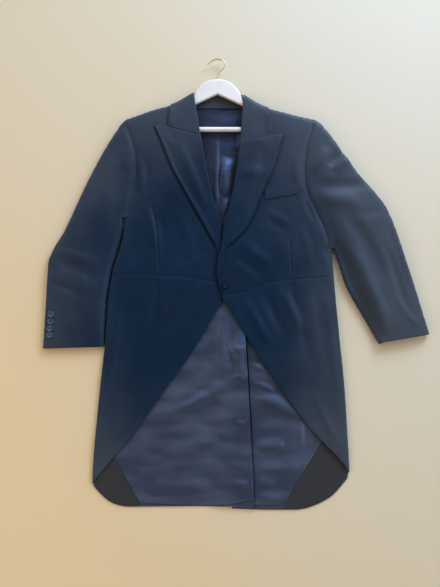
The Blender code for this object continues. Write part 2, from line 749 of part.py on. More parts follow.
def add_backs():
    for side, name in ((RIGHT, "right"), (LEFT, "left")):
        stop = BACK_SEAM_STOP[side]
        high = armhole_point(side, stop / SLEEVE_COLUMNS).y
        fold = [
            (side_start(side, y)[0] - BODY_UNDER - SEAM_GAP, y)
            for y in stops(WAIST_UNDER[side], ARMPIT_Y[side], SEAM_STEP)
        ]
        up = armhole(side, SLEEVE_COLUMNS - 1, stop)
        tip = Vector(up[-1]).lerp(Vector(up[-2]), 0.15)
        seam = back_seam(side, tip.y, WAIST_UNDER[side], SEAM_GAP / 2)
        flat = fill(fold + up[:-1] + [tip] + seam, step=60, rim_step=90)
        add_slab(f"sidebody_{name}", flat, flat_plate(0, CLOTH, side), NAVY)

        seam = back_seam(side, HEM[side], high, -SEAM_GAP / 2)
        up = armhole(side, stop, 0)
        corner, neck_out = seam_corner(side), front_neck(side)[0]
        outs = stops(up[-1][0], neck_out, SEAM_STEP)[1:] + [neck_out - 6]
        across = [(out, shoulder_start(side, out)[0] - BODY_UNDER - SEAM_GAP) for out in outs]
        outline = seam[:-1] + up[:-1] + [tuple(corner)] + across
        if side == RIGHT:
            neck = SEAM_GAP - COLLAR_BACK_X[0]
            outline += [(neck, across[-1][1] - 4), (neck, NECK_Y), (0.15, NECK_Y), (0.15, VENT_TOP)]
            outline += [(-read(VENT_EDGE, "out", y), y) for y in stops(-105, -544, 45)]
            outline += [(out, HEM[side] + 1.5) for out in (-29, 0, VENT_RAMP / 2, VENT_RAMP, 72)]
            lines = [[(-p[0], p[1]) for p in line] for line in vent_lines()]
            flat = fill(outline, lines, step=70, rim_step=90)
            add_slab("back_right", flat, tail_right, NAVY)
        else:
            neck = COLLAR_BACK_X[1] + SEAM_GAP
            outline += [(neck, across[-1][1] - 4), (neck, NECK_Y), (0.15, NECK_Y)]
            outline += [(0.15, VENT_TOP - 2), (LEFT_TAIL_EDGE, -95)]
            outline += [(LEFT_TAIL_EDGE, HEM[side] + 3), (110, HEM[side])]
            add_slab("back_left", fill(outline, step=70, rim_step=90), flat_plate(0, CLOTH), NAVY)


def back_seam(side, first, last, gap):
    """The seam between the back and its side panel, a little to one side of it."""
    return [
        (read(SIDE_BACK_SEAM[side], "out", y) + gap, y) for y in stops(first, last, SEAM_STEP)
    ]


def vent_lines():
    """Lines to run the triangles along where the right tail climbs over the left one, in true x."""
    up, down = VENT_RISE_Y
    middle = (up + down) / 2
    rows = [[(-VENT_RAMP - 4, y), (70, y)] for y in (up, middle, down)]
    steps = (-VENT_RAMP, -VENT_RAMP / 2, 0)
    return rows + [[(x, up + 3), (x, middle), (x, down), (x, -560)] for x in steps]


def vent_lift(x, y):
    """How far the right tail rises to cross the left one."""
    up, down = VENT_RISE_Y
    return VENT_LIFT * share_of(x, -VENT_RAMP, 0) * share_of(y, up, down)


def tail_right(out, y, inner):
    return -out, y, CLOTH * inner + vent_lift(-out, y)


def add_linings():
    """The back's lining, in two lengths that lap in a pleat down the centre, and the tails' facings."""
    edge = [(read(VENT_EDGE, "out", y), y) for y in stops(450.5, -521, 45)]

    def right(x, y, inner):
        lap = ease((x - read(VENT_EDGE, "out", y) + PLEAT_UNDER + 27) / 20) * PLEAT_LIFT
        high = CLOTH + SEAM_GAP + vent_lift(x, y) + lap + rise(LINING_FOLDS[RIGHT], x, y)
        return x, y, high + LINING * inner

    def left(x, y, inner):
        return x, y, CLOTH + SEAM_GAP + rise(LINING_FOLDS[LEFT], x, y) + LINING * inner

    outline = RIGHT_LINING + edge[1:-1]
    lines = [
        [(read(VENT_EDGE, "out", y) - PLEAT_UNDER - back, y) for y in stops(440, -515, 45)]
        for back in (27, 17, 7)
    ]
    lines += vent_lines() + fold_lines(LINING_FOLDS[RIGHT])
    add_slab("lining_right", fill(outline, lines, step=38), right, SATIN, 0.35)

    under = [(read(VENT_EDGE, "out", y) - PLEAT_UNDER, y) for y in stops(450.5, -536, 45)]
    outline = LEFT_LINING[:-1] + under
    flat = fill(outline, fold_lines(LINING_FOLDS[LEFT]))
    add_slab("lining_left", flat, left, SATIN, 0.35)

    for side, name, outline in ((RIGHT, "right", RIGHT_FACING), (LEFT, "left", LEFT_FACING)):
        flat = fill([Vector(p) for p in outline], step=60)
        add_slab(f"facing_{name}", flat, flat_plate(CLOTH + SEAM_GAP, FACING, side), DARK)


def add_lapels():
    for side, name in ((RIGHT, "right"), (LEFT, "left")):
        foot, gorge = ROLL_END[side], GORGE_END[side]
        edge = curve(LAPEL_EDGE[side], 2)
        under = [
            (roll(side, y) - ROLL_ARC - ROLL_UNDER, y) for y in stops(gorge, foot, SEAM_STEP)
        ]
        across = [(roll(side, gorge) - ROLL_ARC * k / 4, gorge) for k in range(5)]
        foot_across = [(roll(side, foot) - ROLL_ARC * k / 4, foot) for k in (4, 3, 2, 1, 0)]
        outline = edge + LAPEL_TOP[side] + across + under + foot_across
        flat = fill(outline, roll_lines(side, foot, gorge), step=30)
        add_slab(f"lapel_{name}", flat, rolled(side), NAVY)


def shoulder_pattern(side, out, y):
    """A place on the shoulder seen from above, as a distance along the cloth."""
    start, radius = shoulder_start(side, out)
    if y <= start:
        return out, y
    return out, start + ARC / math.pi * math.asin(min((y - start) / (radius + CLOTH + LAY_GAP), 1))


def collar_folds(side):
    """Lines across a collar where the shoulder turns, carried round its roll and beneath."""
    lines = []
    for k in range(3):
        outs = stops(roll(side, 480), 135, SEAM_STEP)
        line = [(out, shoulder_start(side, out)[0] + ARC * k / 4) for out in outs]
        for away in (0, ROLL_UNDER + 2):
            high = shoulder_start(side, outs[0] + away)[0] + ARC * k / 4
            line.insert(0, (outs[0] - ROLL_ARC - away, high))
        lines.append(line)
    return lines


def add_collars():
    for side, name in ((RIGHT, "right"), (LEFT, "left")):
        gorge = GORGE_END[side] + SEAM_GAP
        seam = [(x, y + SEAM_GAP + 0.1) for x, y in LAPEL_TOP[side][::-1][:-2]]
        edge = [shoulder_pattern(side, x, y) for x, y in COLLAR_EDGE[side]]

        def end(out):
            return shoulder_start(side, out)[0] + ARC * COLLAR_WRAP / 180

        outer = edge[-1][0] - 2
        over = [(out, end(out)) for out in stops(outer, roll(side, 494), SEAM_STEP)]
        high = over[-1][1]
        flat_out = roll(side, high)
        over[-1] = (flat_out, end(flat_out))
        high = over[-1][1]
        across = [(flat_out - ROLL_ARC * k / 4, high) for k in range(1, 5)]
        under = [
            (roll(side, y) - ROLL_ARC - ROLL_UNDER, y) for y in stops(high, gorge, SEAM_STEP)
        ]
        foot = [(roll(side, gorge) - ROLL_ARC * k / 4, gorge) for k in (4, 3, 2, 1, 0)]
        outline = seam + edge + over + across + under + foot
        lines = roll_lines(side, gorge, high) + collar_folds(side)
        flat = fill(outline, lines, step=20)
        add_slab(f"collar_{name}", flat, rolled(side), NAVY)

    add_slab("collar_back", *collar_back(), DARK)


def collar_back():
    """The stand and leaf behind the neck, folded along their top edge."""

    def place(u, v, inner):
        fold = read(COLLAR_FOLD_Y, "y", u) - COLLAR_HALF
        wall = CLOTH * inner
        if v < 0:
            return u, mix(fold, STAND_Y, -v), 2 * COLLAR_HALF - wall
        if v <= 1:
            angle = v * math.pi
            reach = COLLAR_HALF - wall
            return u, fold + reach * math.sin(angle), COLLAR_HALF + reach * math.cos(angle)
        return u, mix(fold, LEAF_Y, v - 1), wall

    columns = between(*COLLAR_BACK_X, 20)
    return lattice(columns, [-1, -0.5, 0, 0.25, 0.5, 0.75, 1, 1.5, 2]), place


def armhole_point(side, t):
    """A place on the armhole seam, 0 at the shoulder and 1 at the armpit."""
    high = shoulder_start(side, RINGS[side][0].outer_x)[0]
    y = mix(high, ARMPIT_Y[side] + SEAM_GAP, t)
    return Vector((read(ARMHOLE[side], "out", y), y))


def sleeve(side, v):
    """The ring at a place down a sleeve: its two fold starts, their directions and the heights."""
    row = {name: read(RINGS[side], name, v) for name in Ring._fields[1:]}
    blend = ease(v / BODY_FADES)
    ends = []
    for name, t in (("outer", 0), ("inner", 1)):
        seam = armhole_point(side, t)
        high = mix(top(side, *seam), row[f"{name}_high"], blend)
        facing = math.radians(row[f"{name}_turn"])
        way = Vector((math.cos(facing), math.sin(facing)))
        at = Vector((row[f"{name}_x"], row[f"{name}_y"])) - way * high / 2
        ends.append((at, way, high))
    return ends, row["crown"], blend


def sleeve_run(side, v, t):
    """Where the flat of a sleeve is, t across it from the outer fold, and how high it stands."""
    (outer, _, outer_high), (inner, _, inner_high) = sleeve(side, v)[0]
    _, crown, blend = sleeve(side, v)
    fade = max(1 - v / ARMHOLE_FADES, 0) ** 2
    chord = armhole_point(side, 0).lerp(armhole_point(side, 1), t)
    at = outer.lerp(inner, t) + (armhole_point(side, t) - chord) * fade
    seam_high = top(side, *armhole_point(side, t))
    plain = mix(outer_high, inner_high, t)
    folds = rise(SLEEVE_FOLDS[side], side * at.x, at.y) * edge_fade(t)
    arched = plain + crown * math.sin(math.pi * t) + folds
    return at, mix(seam_high, arched, blend)


def edge_fade(t):
    return ease(t / 0.12) * ease((1 - t) / 0.12)


def sleeve_point(side, v, q, off):
    """A point off a sleeve's outer face: q 0 to 1 on top, a half turn either side of that, then beneath."""
    ends = sleeve(side, v)[0]
    if 0 <= q <= 1:
        at, high = sleeve_run(side, v, q)
        return side * at.x, at.y, high + off
    at, way, high = ends[1] if q > 1 else ends[0]
    beyond = q - 1 if q > 1 else -q
    if beyond <= 1:
        angle, reach = beyond * math.pi, high / 2 + off
        spot = at + way * reach * math.sin(angle)
        return side * spot.x, spot.y, high / 2 + reach * math.cos(angle)
    share = (beyond - 1) / SLEEVE_COLUMNS
    spot = sleeve_run(side, v, 1 - share if q > 1 else share)[0]
    return side * spot.x, spot.y, -off


def beside(points, gap):
    """The same line moved a little to its own left."""
    made = []
    for i, point in enumerate(points):
        way = (points[min(i + 1, len(points) - 1)] - points[max(i - 1, 0)]).normalized()
        made.append(point + Vector((-way.y, way.x)) * gap)
    return made


def add_sleeves():
    for side, name in ((RIGHT, "right"), (LEFT, "left")):
        keys = [ring.v for ring in RINGS[side]]
        rows = []
        for a, b in zip(keys, keys[1:]):
            rows += between(a, b, 0.08)[:-1]
        rows.append(1.0)
        half = [0.25, 0.5, 0.75, 1.0, 2.0]
        across = between(0, 1, 1 / SLEEVE_COLUMNS)
        columns = [-h for h in reversed(half)] + across + [1 + h for h in half]

        def upper(q, v, inner, side=side):
            return sleeve_point(side, v, q, -CLOTH * inner)

        def edge(share, way, side=side):
            line = [sleeve_run(side, v, share)[0] for v in rows]
            line = beside(line, way * SEAM_GAP)
            line[0] = sleeve_run(side, 0, share - way * 0.002)[0]
            return line

        seam = [sleeve_run(side, 0, t)[0] for t in across[2:-2]]
        cuff = [sleeve_run(side, 1, t)[0] for t in across[-3:1:-1]]
        outline = edge(across[1], -1)[::-1] + seam + edge(across[-2], 1) + cuff
        add_slab(f"topsleeve_{name}", lattice(columns, rows), upper, NAVY)
        add_slab(f"undersleeve_{name}", fill(outline, step=60), flat_plate(0, CLOTH, side), NAVY)


def add_button(name, centre, half, colour=DARK):
    """A round button with a raised rim, its underside at the given place."""
    profile = [
        (0, 0), (half * 0.82, 0), (half, 0.25), (half, 0.7), (half * 0.9, 1), (half * 0.74, 0.96),
        (half * 0.62, 0.68), (0, 0.62),
    ]
    steps = 14
    bm = bmesh.new()
    rings = []
    for radius, share in profile:
        high = share * BUTTON_THICK
        count = steps if radius else 1
        rings.append([
            bm.verts.new(metres((
                centre[0] + radius * math.cos(2 * math.pi * k / steps),
                centre[1] + radius * math.sin(2 * math.pi * k / steps), centre[2] + high,
            )))
            for k in range(count)
        ])
    for low, high in zip(rings, rings[1:]):
        for k in range(steps):
            n = (k + 1) % steps
            corners = [low[k % len(low)], low[n % len(low)], high[n % len(high)], high[k % len(high)]]
            bm.faces.new(list(dict.fromkeys(corners)))
    add_object(name, bm, colour, 0.4)


def add_trim():
    """The breast pocket's welt and the buttons."""
    outline = [Vector(p) for p in WELT]
    lines = fold_lines(FRONT_FOLDS[LEFT])

    def welt(x, y, inner):
        return body(LEFT, x, y, SEAM_GAP + 0.1 + WELT_WALL * (1 - inner))

    add_slab("breast_welt", fill(outline, lines, step=14), welt, NAVY)
    x, y = WAIST_BUTTON
    add_button("waist_button", (x, y, top(LEFT, x, y) + BUTTON_GAP), WAIST_BUTTON_HALF)
    for count, (q, v) in enumerate(CUFF_BUTTONS, 1):
        x, y, high = sleeve_point(RIGHT, v, q, 0)
        add_button(f"cuff_button_{count}", (x, y, high + BUTTON_GAP), CUFF_BUTTON_HALF)


def hanger_outline():
    """Half of the hanger from the top of its head out along the arm and back beneath, then mirrored."""
    head = []
    for angle in between(HEAD_TO, HEAD_FROM, 9):
        turned = math.radians(angle)
        head.append((HEAD_RADIUS * math.cos(turned), HEAD_Y + HEAD_RADIUS * math.sin(turned)))
    arm = [(62, 467.5)]
    for out in between(76, 206, 22):
        line = min(
            read(SHOULDER[RIGHT], "y", out - HANGER_X), read(SHOULDER[LEFT], "y", out + HANGER_X)
        )
        arm.append((out, line - ARM_TOP_CLEAR))
    half = head + arm + ARM_TIP[::-1] + ARM_UNDER[::-1]
    return half + [(0, CROTCH_Y)] + [(-x, y) for x, y in half[:0:-1]]


def add_hanger():
    """The wooden hanger, its bar and the wire hook."""
    bm = bmesh.new()
    low = [bm.verts.new(metres((x + HANGER_X, y, HANGER_LOW))) for x, y in hanger_outline()]
    face = bm.faces.new(low)
    up = bmesh.ops.extrude_face_region(bm, geom=[face])
    lifted = [v for v in up["geom"] if isinstance(v, bmesh.types.BMVert)]
    bmesh.ops.translate(bm, verts=lifted, vec=(0, 0, HANGER_THICK / 1000))
    bmesh.ops.recalc_face_normals(bm, faces=bm.faces[:])
    rims = [e for e in bm.edges if abs(e.verts[0].co.z - e.verts[1].co.z) < 1e-6]
    bmesh.ops.bevel(bm, geom=rims, offset=WOOD_BEVEL / 1000, segments=2, profile=0.5, affect="EDGES")
    add_object("hanger_body", bm, WOOD, 0.35)

    middle = HANGER_LOW + HANGER_THICK / 2
    bar = [(HANGER_X + end, BAR_Y, middle) for end in between(-BAR_HALF, BAR_HALF, 110)]
    add_tube("hanger_bar", bar, BAR_RADIUS, 16, WOOD, 0.35)
    hook = [(p.x, p.y, middle) for p in curve(HOOK_PATH, 2)]
    add_tube("hanger_hook", hook, HOOK_RADIUS, 8, BRASS, 0.3, 1.0)


def add_tube(name, path, radius, sides, colour, roughness, metallic=0.0):
    """A round bar along a level path, closed at both ends."""
    bm = bmesh.new()
    rings = []
    points = [Vector(p) for p in path]
    for i, point in enumerate(points):
        way = (points[min(i + 1, len(points) - 1)] - points[max(i - 1, 0)]).normalized()
        across = Vector((-way.y, way.x, 0))
        ring = []
        for k in range(sides):
            angle = 2 * math.pi * k / sides
            spot = point + (across * math.cos(angle) + Vector((0, 0, math.sin(angle)))) * radius
            ring.append(bm.verts.new(metres(spot)))
        rings.append(ring)
    for low, high in zip(rings, rings[1:]):
        for k in range(sides):
            n = (k + 1) % sides
            bm.faces.new([low[k], low[n], high[n], high[k]])
    bm.faces.new(rings[0][::-1])
    bm.faces.new(rings[-1])
    add_object(name, bm, colour, roughness, metallic)


def main():
    for existing in list(bpy.data.objects):
        bpy.data.objects.remove(existing)
    add_fronts()
    add_backs()
    add_linings()
    add_lapels()
    add_collars()
    add_sleeves()
    add_trim()
    add_hanger()


main()
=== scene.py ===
"""Dress the morning coat: fine cloth, creases, sewing, buttons, painted hanger, floor, light and camera."""

import logging
import math
from dataclasses import dataclass, field
from enum import Enum

import bmesh
import bpy
import numpy as np
from mathutils import Matrix, Vector
from mathutils.bvhtree import BVHTree


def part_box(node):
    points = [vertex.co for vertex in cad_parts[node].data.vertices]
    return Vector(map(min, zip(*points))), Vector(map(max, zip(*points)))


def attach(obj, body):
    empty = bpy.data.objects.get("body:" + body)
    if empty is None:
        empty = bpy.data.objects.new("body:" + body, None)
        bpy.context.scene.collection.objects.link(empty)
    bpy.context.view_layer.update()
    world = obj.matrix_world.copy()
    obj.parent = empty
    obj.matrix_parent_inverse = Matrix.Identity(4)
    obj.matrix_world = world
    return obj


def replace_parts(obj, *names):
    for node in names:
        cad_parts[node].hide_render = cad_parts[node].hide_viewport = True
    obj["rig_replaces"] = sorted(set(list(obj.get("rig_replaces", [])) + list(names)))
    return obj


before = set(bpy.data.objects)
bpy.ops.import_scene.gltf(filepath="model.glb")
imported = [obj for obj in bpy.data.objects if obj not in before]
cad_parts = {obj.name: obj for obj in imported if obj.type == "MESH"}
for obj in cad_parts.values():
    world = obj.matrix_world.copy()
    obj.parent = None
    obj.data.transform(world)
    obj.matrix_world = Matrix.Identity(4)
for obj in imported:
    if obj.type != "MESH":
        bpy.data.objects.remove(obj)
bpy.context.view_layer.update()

log = logging.getLogger("morning_coat")

MM = 0.001
# Where the coat's own millimetres have their zero, in the frame
COAT_X, COAT_Y = 41.5, 12.5
# Corners sharper than this in a solid are cut edges of the cloth
CUT_EDGE = math.radians(56)
# Middle of the coat, where the painted shade is darkest, and how far out the painted sheen reaches, in coat
# mm
PAINTED_SHADE_MIDDLE = (-55.0, -20.0)
PAINTED_SHEEN_REACH = (400.0, 480.0)
# Turns of an outline sharper than this are true corners and stay
TRUE_CORNER = math.radians(28)
# Corners of a solid's loose triangles closer than this are one, in metres
SAME_SPOT = 2e-6
# Smoothing goes this share of the way in, then out again, so that nothing shrinks
IN_AND_OUT = (0.5, -0.52)
# Cloth counts as level where its normal stands this upright, and wholly so a span further on. It then
# moves by the last share
LEVEL_FROM, LEVEL_SPAN, LEVEL_SHARE = 0.93, 0.05, 0.6
# Cloth lower than this lies on the floor and stays level, and creases are whole a span higher, in mm
FLOOR_LAYER, FLOOR_SPAN = 2.4, 3.6
# Edges longer than this many grains are halved, and creases narrower than this many get finer cloth
SPLIT_OVER, NARROW_UNDER = 1.35, 1.2
# Edges beside a narrow crease are halved down to this share of its width, up to this many mm past it
NARROW_EDGE, NARROW_PAST = 0.55, 3
# Finer cloth is made only above this height, in mm, and where the narrow crease's share is above this
UPPER_SIDE, NEAR_ENOUGH = 5.0, 0.02
SIDES = ("right", "left")

Points = tuple[tuple[float, float], ...]
Socket = bpy.types.NodeSocket


class Hold(Enum):
    """How a sheet of cloth is held."""

    LAID = "laid"
    FOLDED = "folded"


class Layer(Enum):
    """Which part of a piece its creases move."""

    ALL = "all"
    UPPER = "upper"


def place(x: float, y: float, z: float = 0.0) -> Vector:
    """Turn the coat's own millimetres into metres of the frame.

    Args:
        x: Distance from the centre back, to the wearer's left.
        y: Distance up from the waist.
        z: Height over the floor.

    Returns:
        The same place in the frame.
    """
    return Vector(((x - COAT_X) * MM, (y - COAT_Y) * MM, z * MM))


def linear(code: str) -> tuple[float, float, float, float]:
    """Turn an sRGB hex value into linear colour.

    Args:
        code: Six hex digits.

    Returns:
        Red, green, blue and an alpha of 1.
    """
    parts = [int(code[i:i + 2], 16) / 255 for i in (0, 2, 4)]
    made = [p / 12.92 if p <= 0.04045 else ((p + 0.055) / 1.055) ** 2.4 for p in parts]
    return made[0], made[1], made[2], 1.0


def ease(t: np.ndarray) -> np.ndarray:
    """Rise from 0 to 1 with no corner at either end."""
    t = np.clip(t, 0.0, 1.0)
    return t * t * (3 - 2 * t)


def feed(node: bpy.types.Node, key: str | int, value: object) -> None:
    """Link a socket to one of a node's inputs, or set that input to a constant."""
    entry = node.inputs[key]
    if isinstance(value, Socket):
        node.id_data.links.new(value, entry)
    else:
        entry.default_value = value


def set_inputs(node: bpy.types.Node, **values: object) -> None:
    """Feed several of a node's inputs, named with _ for a space."""
    for name, value in values.items():
        feed(node, name.replace("_", " "), value)


def add_node(tree: bpy.types.NodeTree, kind: str, numbered: dict | None = None, **settings: object):
    """Add one shader node.

    Args:
        tree: The material's node tree.
        kind: The node's type name.
        numbered: Input number to the socket or constant that feeds it.
        settings: Input names, with _ for a space, or properties, and their sockets or values.

    Returns:
        The new node.
    """
    node = tree.nodes.new(kind)
    for name, value in settings.items():
        if hasattr(node, name):
            setattr(node, name, value)
        else:
            set_inputs(node, **{name: value})
    for number, value in (numbered or {}).items():
        feed(node, number, value)
    return node


def add_math(tree: bpy.types.NodeTree, operation: str, *values: Socket | float) -> Socket:
    """Combine numbers, and return the outcome."""
    return add_node(tree, "ShaderNodeMath", dict(enumerate(values)), operation=operation).outputs[0]


def add_noise(tree: bpy.types.NodeTree, at: Socket, scale: float, detail: float,
              rough: float = 0.5) -> Socket:
    """Add noise of so many spots a metre, and return its strength."""
    return add_node(tree, "ShaderNodeTexNoise", Vector=at, Scale=scale, Detail=detail,
                    Roughness=rough).outputs[0]


def add_bump(tree: bpy.types.NodeTree, height: Socket, strength: float, metres: float,
             **below: Socket) -> Socket:
    """Add relief, on top of what lies below it if Normal is given, and return the bent normal."""
    return add_node(tree, "ShaderNodeBump", Height=height, Strength=strength, Distance=metres,
                    **below).outputs[0]


def add_ramp(tree: bpy.types.NodeTree, share: Socket, *stops: tuple[float, str]) -> Socket:
    """Add a ramp between two stops, each a place and an sRGB colour, and return its colour."""
    ramp = add_node(tree, "ShaderNodeValToRGB", Fac=share)
    for index, (spot, code) in enumerate(stops):
        ramp.color_ramp.elements[index].position = spot
        ramp.color_ramp.elements[index].color = linear(code)
    return ramp.outputs[0]


def add_rise(tree: bpy.types.NodeTree, value: Socket, start: float, end: float, low: float = 0.0,
             high: float = 1.0) -> Socket:
    """Go smoothly from low to high while a value goes from start to end."""
    return add_node(tree, "ShaderNodeMapRange", interpolation_type="SMOOTHSTEP", Value=value,
                    From_Min=start, From_Max=end, To_Min=low, To_Max=high).outputs[0]


def add_fade(tree: bpy.types.NodeTree, share: Socket, colour: Socket, code: str) -> Socket:
    """Fade a colour into a fixed sRGB one, and return the mixed colour."""
    return add_node(tree, "ShaderNodeMix", {0: share, 6: colour, 7: linear(code)},
                    data_type="RGBA").outputs[2]


@dataclass(frozen=True)
class Finish:
    """A finish on one material: what every kind has in common."""

    name: str

    def start(self) -> tuple[bpy.types.Material, bpy.types.NodeTree, bpy.types.Node, Socket]:
        """Make an empty material.

        Returns:
            The material, its tree, its shader and the object coordinates.
        """
        made = bpy.data.materials.new(self.name)
        made.use_nodes = True
        tree = made.node_tree
        shader = tree.nodes["Principled BSDF"]
        at = add_node(tree, "ShaderNodeTexCoord").outputs["Object"]
        return made, tree, shader, at


@dataclass(frozen=True)
class Worsted(Finish):
    """Wool worsted twill: fine diagonal ribs, a faint bloom of fibre and no gloss."""

    deep: str
    light: str
    painted_sheen: str
    rib_mm: float = 1.3
    bloom: float = 0.03
    gloss: float = 0.24
    rough: float = 0.48
    mottle_mm: float = 140.0
    speck_mm: float = 2.2
    fuzz_mm: float = 1.1
    twill_deg: float = 52
    painted_sheen_over: tuple[float, float] = (0.42, 1.30)

    def make(self) -> bpy.types.Material:
        """Build the cloth's material."""
        made, tree, shader, at = self.start()
        # Slow change of shade, as pressed wool has
        slow = add_noise(tree, at, 1000 / self.mottle_mm, 3.0, 0.55)
        fine = add_noise(tree, at, 1000 / self.speck_mm, 4.0, 0.7)
        ramp = add_ramp(tree, add_math(tree, "MULTIPLY", slow, fine), (0.05, self.deep), (0.50, self.light))
        # Painted sheen and shade: the cloth is painted paler and greyer away from the middle, at collar,
        # shoulders, sleeves and tails, for the light it would reflect there, and stays dark in the middle
        # as if shaded from above
        reach = add_node(tree, "ShaderNodeMapping", vector_type="TEXTURE", Vector=at,
                         Location=place(*PAINTED_SHADE_MIDDLE), Scale=Vector((*PAINTED_SHEEN_REACH, 1000)) * MM)
        level = add_node(tree, "ShaderNodeVectorMath", {0: reach.outputs[0], 1: (1, 1, 0)},
                         operation="MULTIPLY")
        away = add_node(tree, "ShaderNodeVectorMath", {0: level.outputs[0]}, operation="LENGTH")
        drift = add_math(tree, "MULTIPLY_ADD", slow, 0.5, -0.25)
        painted_sheen_share = add_rise(tree, add_math(tree, "ADD", away.outputs["Value"], drift), *self.painted_sheen_over)
        # The twill's ribs, drawn about twice as coarse as the yarn so that they show. A wave's scale
        # counts twenty to the unit
        lean = add_node(tree, "ShaderNodeMapping", Vector=at, Rotation=(0, 0, math.radians(self.twill_deg)))
        ribs = add_node(tree, "ShaderNodeTexWave", Vector=lean.outputs[0], Distortion=0.6, Detail=2.0,
                        Scale=1000 / self.rib_mm / 20, Detail_Scale=2.0)
        relief = add_bump(tree, ribs.outputs[1], 0.10, 0.0004)
        fuzz = add_noise(tree, at, 1000 / self.fuzz_mm, 2.0)
        set_inputs(shader, Base_Color=add_fade(tree, painted_sheen_share, ramp, self.painted_sheen),
                   Normal=add_bump(tree, fuzz, 0.16, 0.0006, Normal=relief), Roughness=self.rough,
                   Specular_IOR_Level=self.gloss, Sheen_Weight=self.bloom, Sheen_Roughness=0.45,
                   Sheen_Tint=linear("8ea4cf"))
        return made


@dataclass(frozen=True)
class Satin(Finish):
    """Viscose satin lining: a smooth shine that breaks over every small pucker, with paler patches painted
    in as highlights and darker painted shade above the waist.
    """

    deep: str
    light: str
    painted_shade: str
    rough: float = 0.39
    painted_shade_mm: float = 160
    pucker_deg: float = -18
    puckers_a_metre: tuple[float, float, float] = (9.0, 24.0, 9.0)

    def make(self) -> bpy.types.Material:
        """Build the lining's material."""
        made, tree, shader, at = self.start()
        # Limp satin lies in small uneven puckers, which run a little uphill across the coat. The same noise
        # paints paler patches on it: painted highlights where the shine breaks over them
        lie = add_node(tree, "ShaderNodeMapping", Vector=at, Rotation=(0, 0, math.radians(self.pucker_deg)),
                       Scale=self.puckers_a_metre)
        puckers_and_painted_shine = add_noise(tree, lie.outputs[0], 1.0, 1.5)
        ramp = add_ramp(tree, puckers_and_painted_shine, (0.40, self.deep), (0.72, self.light))
        # Painted shade: the lining is painted darker above the waist, for the shade the collar and fronts
        # cast into the neck's hollow
        up = add_node(tree, "ShaderNodeSeparateXYZ", Vector=at).outputs["Y"]
        dark = add_rise(tree, up, place(0, 0).y, place(0, self.painted_shade_mm).y)
        # Long floats of the satin weave run up the coat
        stretch = add_node(tree, "ShaderNodeMapping", Vector=at, Scale=(1.0, 0.14, 1.0))
        floats = add_noise(tree, stretch.outputs[0], 900.0, 2.0)
        soft = add_bump(tree, puckers_and_painted_shine, 0.6, 0.0060)
        set_inputs(shader, Base_Color=add_fade(tree, dark, ramp, self.painted_shade),
                   Normal=add_bump(tree, floats, 0.10, 0.0003, Normal=soft), Roughness=self.rough,
                   Specular_IOR_Level=1.0, Specular_Tint=linear("a9c9ff"), Anisotropic=0.35,
                   Sheen_Weight=0.18, Sheen_Roughness=0.3, Sheen_Tint=linear("a9bfd8"))
        return made


@dataclass(frozen=True)
class Lacquer(Finish):
    """Beech under white satin lacquer: faint long grain shows through as soft relief."""

    body: str = "f6efdf"
    worn: str = "ebe2d0"

    def make(self) -> bpy.types.Material:
        """Build the painted wood's material."""
        made, tree, shader, at = self.start()
        along = add_node(tree, "ShaderNodeMapping", Vector=at, Scale=(0.12, 1.0, 1.0))
        grain = add_noise(tree, along.outputs[0], 420.0, 5.0, 0.6)
        cloud = add_noise(tree, at, 22.0, 2.0)
        ramp = add_ramp(tree, cloud, (0.25, self.worn), (0.55, self.body))
        set_inputs(shader, Base_Color=ramp, Normal=add_bump(tree, grain, 0.15, 0.0003), Roughness=0.34,
                   Coat_Weight=0.25, Coat_Roughness=0.22)
        return made


@dataclass(frozen=True)
class BrassWire(Finish):
    """Drawn and lacquered brass wire: pale, bright and finely scored along its length."""

    colour: str = "e2cf98"

    def make(self) -> bpy.types.Material:
        """Build the wire's material."""
        made, tree, shader, at = self.start()
        score = add_noise(tree, at, 700.0, 3.0)
        rough = add_node(tree, "ShaderNodeMapRange", Value=score, To_Min=0.24, To_Max=0.40).outputs[0]
        set_inputs(shader, Base_Color=linear(self.colour), Roughness=rough, Metallic=1.0)
        return made


@dataclass(frozen=True)
class Horn(Finish):
    """Buffalo horn dyed navy: cloudy streaks under a polish."""

    deep: str
    pale: str
    gloss: float

    def make(self) -> bpy.types.Material:
        """Build the buttons' material."""
        made, tree, shader, at = self.start()
        streak = add_node(tree, "ShaderNodeMapping", Vector=at, Scale=(1.0, 3.0, 1.0), Rotation=(0, 0, 0.5))
        cloud = add_noise(tree, streak.outputs[0], 130.0, 4.0)
        ramp = add_ramp(tree, cloud, (0.38, self.deep), (0.72, self.pale))
        set_inputs(shader, Base_Color=ramp, Roughness=0.52, Specular_IOR_Level=self.gloss)
        return made


@dataclass(frozen=True)
class Thread(Finish):
    """Twisted silk buttonhole thread: small and slightly shiny."""

    colour: str

    def make(self) -> bpy.types.Material:
        """Build the thread's material."""
        made, tree, shader, at = self.start()
        twist = add_node(tree, "ShaderNodeTexWave", Vector=at, Scale=90.0, Distortion=1.0)
        set_inputs(shader, Base_Color=linear(self.colour), Roughness=0.5,
                   Normal=add_bump(tree, twist.outputs[1], 0.3, 0.0002))
        return made


@dataclass(frozen=True)
class Floor(Finish):
    """A pale matt floor with painted light: painted cooler towards the window and warmer away from it, for
    the window's cool light and the lamp's warm light.
    """

    warm: str = "ebd29d"
    cool: str = "e6d9b9"

    def make(self) -> bpy.types.Material:
        """Build the floor's material."""
        made, tree, shader, at = self.start()
        # Painted light: cool where the window's light falls, warm where the lamp's falls, with slow noise
        across = add_node(tree, "ShaderNodeVectorMath", {0: at, 1: (0.7, 0.6, 0)}, operation="DOT_PRODUCT")
        both = add_math(tree, "ADD", across.outputs["Value"], add_noise(tree, at, 0.9, 1.0))
        ramp = add_ramp(tree, both, (0.0, self.warm), (1.0, self.cool))
        set_inputs(shader, Base_Color=ramp, Roughness=0.9)
        return made


